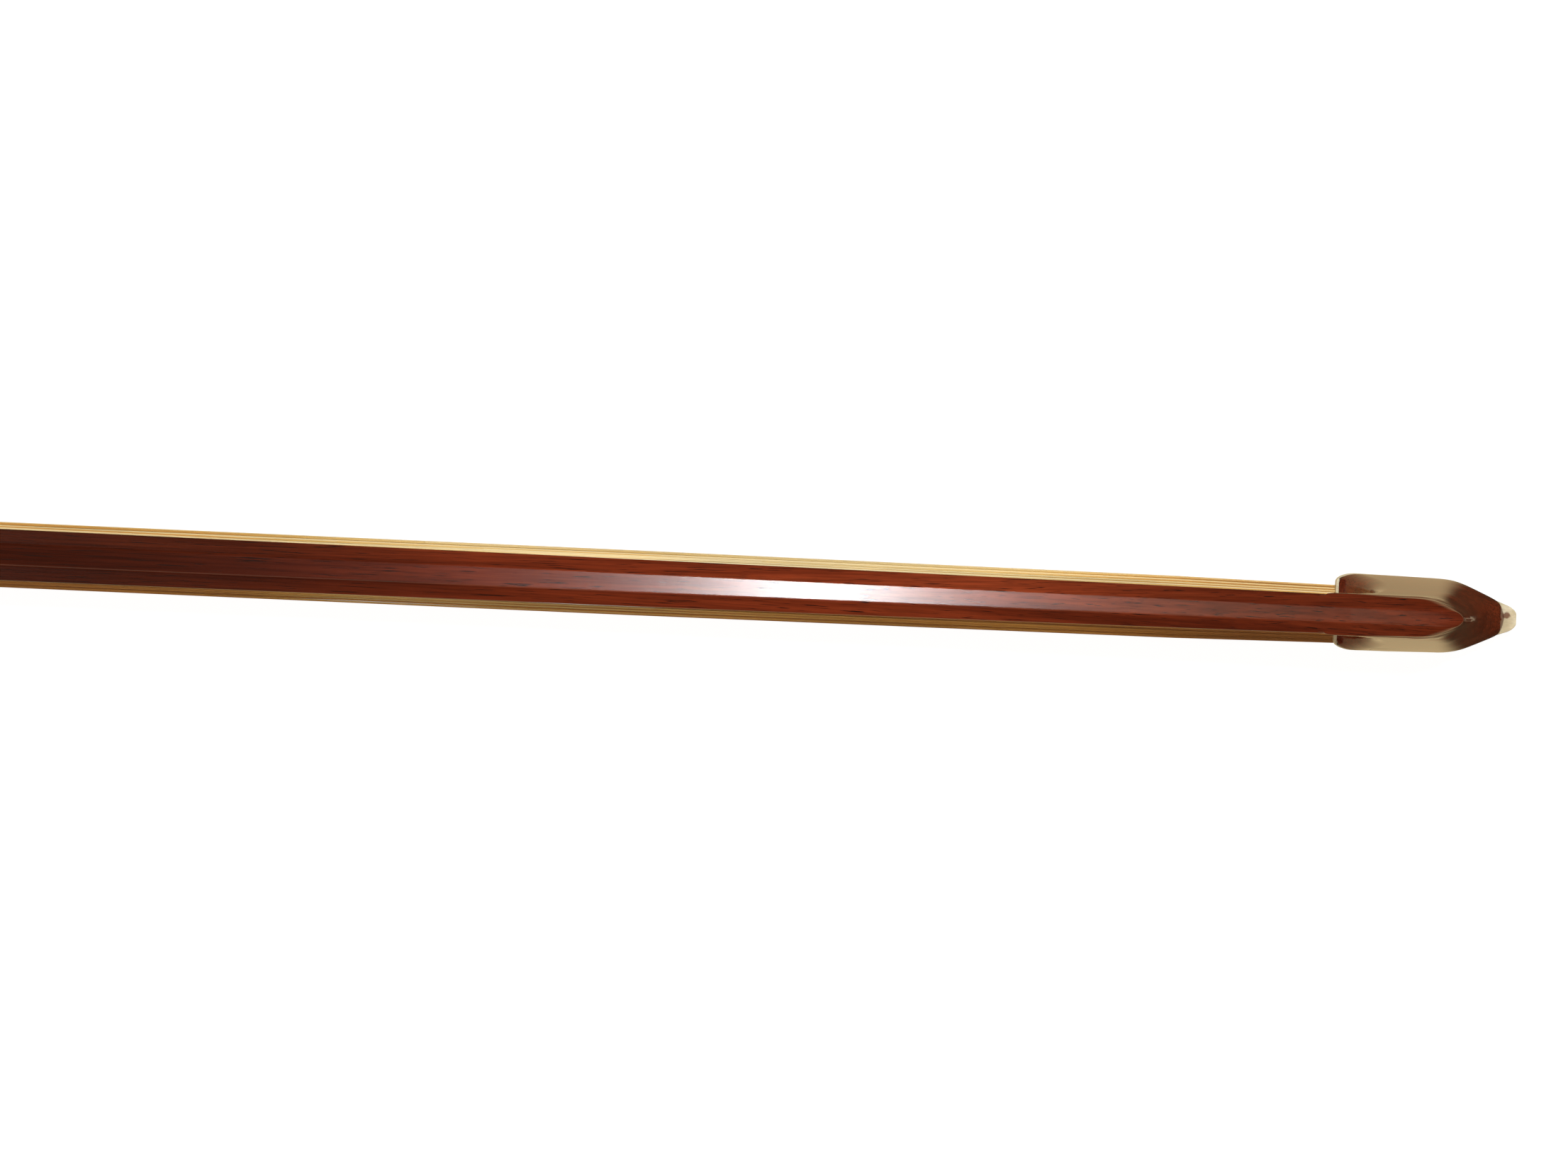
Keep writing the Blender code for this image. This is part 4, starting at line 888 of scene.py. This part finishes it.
def make_eye(side):
    """A pearl eye with a low dome, and its ring with a rounded top."""
    point, out = eye_place("pearl_eye_" + side)
    top = 0.00080
    seat = point - out * top
    radius, dome = 0.0029, 0.00022
    profile = [(0, 0), (radius, 0), (radius, 0.00070), (radius - 0.00005, 0.00078)]
    profile += [(radius * s, top + dome * (1 - s * s)) for s in (0.92, 0.8, 0.6, 0.4, 0.2, 0)]
    pearl = turned("pearl_eye_" + side + "_dome", profile, seat, out)
    inner, outer, lip, rise = 0.00292, 0.00428, 0.00012, 0.00008
    ring_profile = [
        (inner, 0), (inner, top - lip), (inner + lip, top), ((inner + outer) / 2, top + rise),
        (outer - lip, top), (outer, top - lip), (outer, 0),
    ]
    ring = turned("eye_ring_" + side + "_round", ring_profile, seat, out)
    return pearl, ring


def make_button_pearl():
    """The button's pearl dot with a low dome."""
    low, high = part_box("button_pearl")
    radius, top, dome = high.y, 0.00080, 0.00018
    profile = [(0, 0), (radius, 0), (radius, 0.0007), (radius - 0.00006, 0.00078)]
    profile += [(radius * s, top + dome * (1 - s * s) - dome) for s in (0.9, 0.7, 0.5, 0.25, 0)]
    return turned("button_pearl_dome", profile, (high.x, 0, AXIS_Z), (-1, 0, 0))


# Materials


class Tree:
    """Short names for building one tree of nodes."""

    def __init__(self, owner):
        owner.use_nodes = True
        self.nodes = owner.node_tree.nodes
        self.links = owner.node_tree.links

    def node(self, kind, **values):
        """A new node; each value goes to its input of that name, or else to its own setting."""
        made = self.nodes.new(kind)
        for key, value in values.items():
            name = key.replace("_", " ")
            if name in made.inputs:
                self.feed(value, made.inputs[name])
            else:
                setattr(made, key, value)
        return made

    def feed(self, value, socket):
        """Links an output to an input, or sets the input to a plain value."""
        if isinstance(value, bpy.types.NodeSocket):
            self.links.new(value, socket)
        elif isinstance(value, tuple) and len(value) == 3 and socket.type == "RGBA":
            socket.default_value = (*value, 1)
        else:
            socket.default_value = value

    def maths(self, operation, *values):
        made = self.node("ShaderNodeMath", operation=operation)
        for value, socket in zip(values, made.inputs):
            self.feed(value, socket)
        return made.outputs["Value"]

    def mix(self, factor, a, b, kind="MIX"):
        made = self.node("ShaderNodeMix", data_type="RGBA", blend_type=kind)
        for value, name in ((factor, "Factor"), (a, "A"), (b, "B")):
            self.feed(value, made.inputs[name])
        return made.outputs["Result"]

    def mix_shader(self, factor, a, b):
        """The first shader where the factor is 0, the second where it is 1."""
        made = self.node("ShaderNodeMixShader")
        for value, socket in zip((factor, a, b), made.inputs):
            self.feed(value, socket)
        return made.outputs[0]

    def split(self, place):
        return self.node("ShaderNodeSeparateXYZ", Vector=place).outputs


class Maker(Tree):
    """Builds one material round its main shader."""

    def __init__(self, name):
        self.made = bpy.data.materials.new(name)
        super().__init__(self.made)
        self.shader = self.nodes["Principled BSDF"]
        self.place = self.node("ShaderNodeTexCoord").outputs["Object"]

    def scaled(self, scale):
        return self.node("ShaderNodeMapping", Scale=scale, Vector=self.place).outputs["Vector"]

    def noise(self, scale, detail=4.0, rough=0.5, distort=0.0):
        made = self.node(
            "ShaderNodeTexNoise", Scale=1.0, Detail=detail, Roughness=rough, Distortion=distort,
            Vector=self.scaled(scale),
        )
        return made.outputs["Fac"]

    def ramp(self, value, stops, mode="LINEAR"):
        made = self.node("ShaderNodeValToRGB", Fac=value)
        ramp = made.color_ramp
        ramp.interpolation = mode
        while len(ramp.elements) > 1:
            ramp.elements.remove(ramp.elements[-1])
        for k, (at, colour) in enumerate(stops):
            element = ramp.elements[0] if k == 0 else ramp.elements.new(at)
            element.position = at
            tone = colour if isinstance(colour, tuple) else (colour, colour, colour)
            element.color = (*tone, 1)
        return made.outputs["Color"]

    def bump(self, height, distance, below=None):
        made = self.node("ShaderNodeBump", Strength=1.0, Distance=distance, Height=height)
        if below is not None:
            self.feed(below, made.inputs["Normal"])
        return made.outputs["Normal"]

    def set(self, **values):
        for key, value in values.items():
            self.feed(value, self.shader.inputs[key.replace("_", " ")])


def wood_painted_light(m):
    """The wood's painted light and shade by its place along the bow, as a share of its top value."""
    start, end = PAINTED_LIGHT_ALONG[0][0], PAINTED_LIGHT_ALONG[-1][0]
    share = m.node("ShaderNodeMapRange", Value=m.split(m.place)["X"], From_Min=start, From_Max=end)
    stops = [((x - start) / (end - start), tone / PAINTED_LIGHT_TOP) for x, tone in PAINTED_LIGHT_ALONG]
    return m.ramp(share.outputs["Result"], stops, "EASE")


def wood():
    """Dark red-brown bow wood under a clear polish, its fibres and pores along the stick, with painted light
    and shade along it.
    """
    m = Maker("bow_wood")
    bands = m.noise((9, 420, 420), 5, 0.55, 0.4)
    fibres = m.noise((60, 2600, 2600), 4, 0.6)
    pores = m.noise((190, 5200, 5200), 2, 0.5)
    sparkle = m.noise((900, 2600, 2600), 2, 0.6)
    colour = m.ramp(bands, [
        (0.28, (0.074, 0.0105, 0.0034)), (0.50, (0.120, 0.0185, 0.0058)), (0.72, (0.172, 0.0290, 0.0092)),
    ])
    streak = m.ramp(fibres, [(0.30, 0.62), (0.62, 1.15)])
    # The grain's streaks, then the painted light and shade along the stick, scaled up to its top value
    for tone in (streak, wood_painted_light(m), (PAINTED_LIGHT_TOP, PAINTED_LIGHT_TOP, PAINTED_LIGHT_TOP)):
        colour = m.mix(1.0, colour, tone, "MULTIPLY")
    pit = m.ramp(pores, [(0.30, 0.0), (0.40, 1.0)])
    m.set(
        Base_Color=m.mix(pit, (0.018, 0.006, 0.004), colour), Roughness=0.5, Specular_IOR_Level=0.0,
        Normal=m.bump(fibres, 0.000012),
        Coat_Weight=1.0, Coat_Roughness=0.13, Coat_Normal=m.bump(sparkle, 0.000004),
    )
    return m.made


def bone_stain(m):
    """How strongly the beak's stain shows, with an uneven edge."""
    place = m.split(m.place)
    x, y, radius = STAIN
    offsets = [
        m.maths("MULTIPLY", m.maths("SUBTRACT", place[axis], middle), 1 / radius)
        for axis, middle in (("X", x), ("Y", y))
    ]
    far = m.maths("SQRT", m.maths("ADD", *[m.maths("MULTIPLY", offset, offset) for offset in offsets]))
    uneven = m.maths("MULTIPLY", m.noise((1500, 1500, 1500), 3), 0.9)
    return m.ramp(m.maths("ADD", far, uneven), [(0.80, 0.85), (1.25, 0.0)])


def bone():
    """Pale bone with faint clouds, fine lines and one stain."""
    m = Maker("face_plate_bone")
    cloud = m.noise((260, 700, 700), 4, 0.55)
    base = m.ramp(cloud, [(0.30, (0.58, 0.49, 0.31)), (0.70, (0.78, 0.71, 0.52))])
    lines = m.ramp(m.noise((500, 5200, 2500), 2), [(0.35, 0.86), (0.6, 1.0)])
    base = m.mix(1.0, base, lines, "MULTIPLY")
    m.set(
        Base_Color=m.mix(bone_stain(m), base, (0.16, 0.055, 0.028)), Roughness=0.38,
        Normal=m.bump(cloud, 0.00002), Subsurface_Weight=0.12,
        Subsurface_Radius=(0.0010, 0.0007, 0.0004), Subsurface_Scale=1.0,
    )
    return m.made


def ebony():
    """Nearly black wood, dull in its pores."""
    m = Maker("ebony_wood")
    fibres = m.noise((220, 3000, 3000), 4, 0.6)
    colour = m.ramp(fibres, [
        (0.30, (0.006, 0.0048, 0.0042)), (0.55, (0.014, 0.0110, 0.0095)), (0.72, (0.034, 0.024, 0.019)),
    ])
    pores = m.ramp(m.noise((420, 6000, 6000), 1), [(0.30, 0.0), (0.38, 1.0)])
    rough = m.ramp(pores, [(0.0, 0.62), (1.0, 0.30)])
    m.set(
        Base_Color=colour, Roughness=rough, Normal=m.bump(pores, 0.00001), Specular_IOR_Level=0.35,
        Coat_Weight=0.12, Coat_Roughness=0.16,
    )
    return m.made


def plug_wood():
    """Light maple."""
    m = Maker("maple_plug")
    fibres = m.noise((300, 2600, 900), 4, 0.6)
    colour = m.ramp(fibres, [(0.3, (0.34, 0.21, 0.10)), (0.7, (0.56, 0.39, 0.21))])
    m.set(Base_Color=colour, Roughness=0.62, Normal=m.bump(fibres, 0.00003))
    return m.made


def hair_fibre():
    """Golden horse hair: each strand has its own tone and painted shade and light along its length, and
    darkens and lightens in patches.
    """
    m = Maker("horse_hair")
    tone = m.node("ShaderNodeAttribute", attribute_name="tone").outputs["Fac"]
    # Its dark red low end also carries the painted shade of the band's -Y side
    colour = m.ramp(tone, [
        (0.0, (0.40, 0.165, 0.036)), (0.16, (0.68, 0.33, 0.070)), (0.30, (0.78, 0.46, 0.12)),
        (0.5, (0.83, 0.61, 0.25)), (0.7, (0.88, 0.71, 0.37)), (1.0, (0.92, 0.82, 0.54)),
    ])
    patch = m.ramp(m.noise((26, 900, 900), 3), [(0.3, 0.80), (0.7, 1.08)])
    scales = m.noise((5200, 2600, 2600), 2)
    m.set(
        Base_Color=m.mix(1.0, colour, patch, "MULTIPLY"), Roughness=0.36, Normal=m.bump(scales, 0.000006),
        Specular_IOR_Level=0.55,
    )
    return m.made


def thread():
    """Dark red thread with its twist."""
    m = Maker("red_thread")
    place = m.scaled((900, 5200, 900))
    twist = m.node("ShaderNodeTexWave", wave_type="BANDS", Scale=1.0, Vector=place).outputs["Fac"]
    colour = m.ramp(twist, [(0.2, (0.22, 0.018, 0.012)), (0.8, (0.52, 0.060, 0.036))])
    m.set(Base_Color=colour, Roughness=0.75, Normal=m.bump(twist, 0.00004), Sheen_Weight=0.3)
    return m.made


def leather():
    """Dark brown goat leather with pebbled grain, rubbed smoother and lighter where a thumb rests."""
    m = Maker("grip_leather")
    place = m.scaled((2100, 2100, 2100))
    cells = m.node("ShaderNodeTexVoronoi", feature="F1", distance="EUCLIDEAN", Scale=1.0, Vector=place)
    pebbles = m.ramp(cells.outputs["Distance"], [(0.0, 1.0), (0.75, 0.0)])
    patch = m.noise((160, 160, 160), 4, 0.6)
    colour = m.ramp(patch, [(0.3, (0.020, 0.0095, 0.0060)), (0.7, (0.052, 0.026, 0.015))])
    colour = m.mix(1.0, colour, m.ramp(pebbles, [(0.1, 0.62), (0.8, 1.15)]), "MULTIPLY")
    rough = m.ramp(patch, [(0.3, 0.62), (0.7, 0.42)])
    creases = m.bump(m.noise((500, 900, 900), 4, 0.6), 0.00005)
    m.set(
        Base_Color=colour, Roughness=rough, Normal=m.bump(pebbles, 0.00009, below=creases),
        Sheen_Weight=0.1,
    )
    return m.made


def metal(name, low, high, rough_low, rough_high):
    """Handled metal: faint tarnish in patches and fine rubbing lines."""
    m = Maker(name)
    patch = m.noise((340, 340, 340), 5, 0.6)
    rub = m.noise((900, 160, 160), 3, 0.6)
    worn = m.maths("ADD", m.maths("MULTIPLY", patch, 0.5), m.maths("MULTIPLY", rub, 0.5))
    m.set(
        Base_Color=m.ramp(patch, [(0.32, low), (0.68, high)]), Metallic=0.9,
        Roughness=m.ramp(worn, [(0.35, rough_low), (0.65, rough_high)]), Normal=m.bump(rub, 0.000006),
    )
    return m.made


def pearl():
    """Mother of pearl: soft cells of pink, green and blue over warm white."""
    m = Maker("mother_of_pearl")
    warp = m.noise((420, 420, 420), 4, 0.6, 1.5)
    waves = m.node(
        "ShaderNodeTexWave", wave_type="BANDS", Scale=1.0, Distortion=9.0, Detail=3.0,
        Vector=m.scaled((260, 420, 420)),
    ).outputs["Fac"]
    cells = m.maths("ADD", m.maths("MULTIPLY", warp, 0.6), m.maths("MULTIPLY", waves, 0.4))
    hue = m.ramp(cells, [
        (0.25, (0.42, 0.66, 0.62)), (0.42, (0.78, 0.80, 0.74)), (0.55, (0.82, 0.62, 0.64)),
        (0.68, (0.52, 0.74, 0.58)), (0.82, (0.74, 0.74, 0.84)),
    ])
    m.set(
        Base_Color=hue, Roughness=0.22, Metallic=0.25, Specular_IOR_Level=0.7,
        Normal=m.bump(waves, 0.00001), Coat_Weight=0.8, Coat_Roughness=0.06,
    )
    return m.made


def floor_material():
    """Plain pale floor: white behind the object, warm in its reflections, with a faint shadow."""
    made = bpy.data.materials.new("floor")
    m = Tree(made)
    m.nodes.clear()
    rays = m.node("ShaderNodeLightPath").outputs
    place = m.split(m.node("ShaderNodeTexCoord").outputs["Object"])

    def step(value, ends):
        """0 at the first end, 1 at the second, smooth between."""
        return m.node(
            "ShaderNodeMapRange", interpolation_type="SMOOTHSTEP", Value=value,
            From_Min=min(ends), From_Max=max(ends),
            To_Min=float(ends[0] > ends[1]), To_Max=float(ends[0] < ends[1]),
        ).outputs["Result"]

    side = m.maths("ABSOLUTE", place["Y"])
    # The head's painted shadow in the floor's reflections, past its nose
    shadow = step(side, SHADOW_SIDE[::-1])
    for ends in (SHADOW_REAR, SHADOW_FRONT[::-1]):
        shadow = m.maths("MULTIPLY", shadow, step(place["X"], ends))
    lit = m.maths("SUBTRACT", 1.0, m.maths("MULTIPLY", shadow, SHADOW_DEPTH))
    sheet = m.maths("MAXIMUM", step(side, STRIP_EDGE[::-1]), step(place["X"], SHEET_WIDENS))
    strength = m.maths("MULTIPLY", m.maths("MULTIPLY", lit, sheet), SHEET_LIGHT)
    tint = m.mix(step(place["X"], SHEET_TURNS_WARM), SHEET_PALE, SHEET_WARM)
    mirrored = m.node("ShaderNodeEmission", Color=tint, Strength=strength)
    bounce = m.node("ShaderNodeBsdfDiffuse", Color=(0.62, 0.53, 0.40))
    plain = m.node("ShaderNodeBsdfDiffuse", Color=(0.16, 0.16, 0.16))
    white = m.node("ShaderNodeEmission", Strength=0.94)
    seen = m.node("ShaderNodeAddShader")
    for shader, socket in zip((plain, white), seen.inputs):
        m.feed(shader.outputs[0], socket)
    in_gloss = m.maths("MAXIMUM", rays["Is Glossy Ray"], rays["Is Transmission Ray"])
    unseen = m.mix_shader(in_gloss, bounce.outputs[0], mirrored.outputs[0])
    surface = m.mix_shader(rays["Is Camera Ray"], unseen, seen.outputs[0])
    m.node("ShaderNodeOutputMaterial", Surface=surface)
    return made


# Stage


def make_floor():
    reach, z = 3.0, -0.0002
    corners = ((-1, -1), (1, -1), (1, 1), (-1, 1))
    points = [(reach * x, reach * y, z) for x, y in corners]
    floor = mesh_piece("floor", points, [(0, 1, 2, 3)], smooth=False)
    floor.data.materials.append(floor_material())


def lamp(name, place, target, size, watts, colour=(1, 1, 1), mirrored=True):
    """A round lamp, seen in reflections or not."""
    data = bpy.data.lights.new(name, "AREA")
    data.shape = "DISK"
    data.size = size
    data.energy = watts
    data.color = colour
    made = place_object(name, data)
    made.location = place
    made.rotation_euler = (Vector(target) - Vector(place)).to_track_quat("-Z", "Y").to_euler()
    made.visible_glossy = mirrored


def make_world():
    """Plain where the camera sees it, and a dim warm room for light and reflections."""
    world = bpy.data.worlds.new("plain")
    bpy.context.scene.world = world
    w = Tree(world)
    w.nodes.clear()
    rays = w.node("ShaderNodeLightPath").outputs
    seen = w.node("ShaderNodeBackground", Strength=1.0)
    room = w.node("ShaderNodeBackground", Color=(1.0, 0.88, 0.72), Strength=0.26)
    dim = w.node("ShaderNodeBackground", Color=(1.0, 0.9, 0.8), Strength=0.04)
    unseen = w.mix_shader(rays["Is Glossy Ray"], room.outputs[0], dim.outputs[0])
    surface = w.mix_shader(rays["Is Camera Ray"], unseen, seen.outputs[0])
    w.node("ShaderNodeOutputWorld", Surface=surface)


def make_camera():
    data = bpy.data.cameras.new("camera")
    data.sensor_fit = "HORIZONTAL"
    data.sensor_width = 36
    data.lens = 117.3
    data.clip_start = 0.01
    camera = place_object("camera", data)
    camera.location = (0.2709, 0.0002, 0.720)
    camera.rotation_euler = (0, 0, math.radians(2.55))
    bpy.context.scene.camera = camera


def make_lights():
    """The flash and its halo in the polish, the main lamp, and one aside that glints on the edges."""
    make_world()
    head, stick = (0.27, 0, 0), (-0.1, 0, 0)
    lamp("flash", (0.219, 0.002, 0.74), head, 0.010, 0.21)
    lamp("halo", (0.290, 0.002, 0.74), head, 0.056, 0.010, (1.0, 0.78, 0.50))
    lamp("key", (0.25, 0.76, 2.9), (0.15, 0, 0), 0.26, 68, mirrored=False)
    lamp("soft", (-0.3, -0.9, 2.2), stick, 1.5, 6.6, (1.0, 0.84, 0.68), mirrored=False)
    lamp("glint", (-0.29, -0.87, 2.13), stick, 1.5, 5.0, (1.0, 0.74, 0.50))


# Assembly


# The CAD nodes that stay: node, look, and the radius of its edges where it has them
DRESSED = [
    ("tip_plug", "plug", 0.00008), ("tip_hair_knot", "hair", 0), ("tip_knot_thread", "thread", 0),
    ("underslide", "silver", 0), ("underslide_pin_front", "silver", 0), ("underslide_pin_rear", "silver", 0),
    ("eyelet", "brass", 0), ("ferrule_wedge", "plug", 0.0001), ("frog_plug", "plug", 0.0001),
    ("frog_hair_knot", "hair", 0), ("frog_knot_thread", "thread", 0), ("slide_bar", "ebony", 0),
    ("slide_pearl", "pearl", 0.00008), ("heel_plate", "silver", 0.00010),
    ("heel_pin_lower", "silver", 0.00006), ("heel_pin_upper", "silver", 0.00006),
    ("screw", "steel", 0), ("button_core", "ebony", 0.00022),
    ("button_front_band", "silver", 0.00018), ("button_rear_band", "silver", 0.00018),
]


def dress(node, look, edge):
    """A better material for a CAD node that stays, and rounded edges where it has them."""
    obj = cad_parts[node]
    obj.data.materials.clear()
    obj.data.materials.append(look)
    if edge:
        soften(obj, edge, segments=2)


def add(piece, look, body, node):
    """A visual piece: its material, its body, and the CAD node it stands for, which is hidden."""
    piece.data.materials.clear()
    piece.data.materials.append(look)
    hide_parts(node)
    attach(piece, body)


def main():
    bpy.context.scene.view_settings.view_transform = "Standard"
    make_camera()
    make_lights()
    make_floor()
    looks = {
        "wood": wood(), "bone": bone(), "ebony": ebony(), "plug": plug_wood(), "hair": hair_fibre(),
        "thread": thread(), "leather": leather(), "pearl": pearl(),
        "silver": metal("nickel_silver_metal", (0.46, 0.43, 0.37), (0.72, 0.69, 0.62), 0.26, 0.44),
        "steel": metal("screw_steel", (0.30, 0.30, 0.31), (0.50, 0.50, 0.51), 0.28, 0.45),
        "brass": metal("eyelet_brass", (0.46, 0.32, 0.12), (0.66, 0.48, 0.20), 0.28, 0.42),
    }
    for piece in (make_head(), make_shaft(), make_handle()):
        add(piece, looks["wood"], "stick", "stick")
    plate = make_plate_layer("bone_plate", 0.0, 0.0, PLATE_THICKNESS, edge=0.00022)
    add(plate, looks["bone"], "stick", "tip_plate")
    under, over = PLATE_THICKNESS - 0.00002, WOOD_BASE + 0.00003
    liner = make_plate_layer("plate_liner", 0.0026, under, over, edge=0.00005, inset=0.00016)
    add(liner, looks["ebony"], "stick", "tip_liner")
    hair = make_hair()
    hair.data.materials.append(looks["hair"])
    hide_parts("hair_ribbon")
    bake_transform(hair)
    add(make_leather(), looks["leather"], "stick", "thumb_leather")
    add(make_lapping(), looks["silver"], "stick", "wire_lapping")
    add(make_frog_body(), looks["ebony"], "frog", "frog_body")
    add(make_ferrule(), looks["silver"], "frog", "ferrule")
    for side in ("left", "right"):
        eye, ring = make_eye(side)
        add(eye, looks["pearl"], "frog", "pearl_eye_" + side)
        add(ring, looks["silver"], "frog", "eye_ring_" + side)
    add(make_button_pearl(), looks["pearl"], "screw", "button_pearl")
    for node, look, edge in DRESSED:
        dress(node, looks[look], edge)


main()
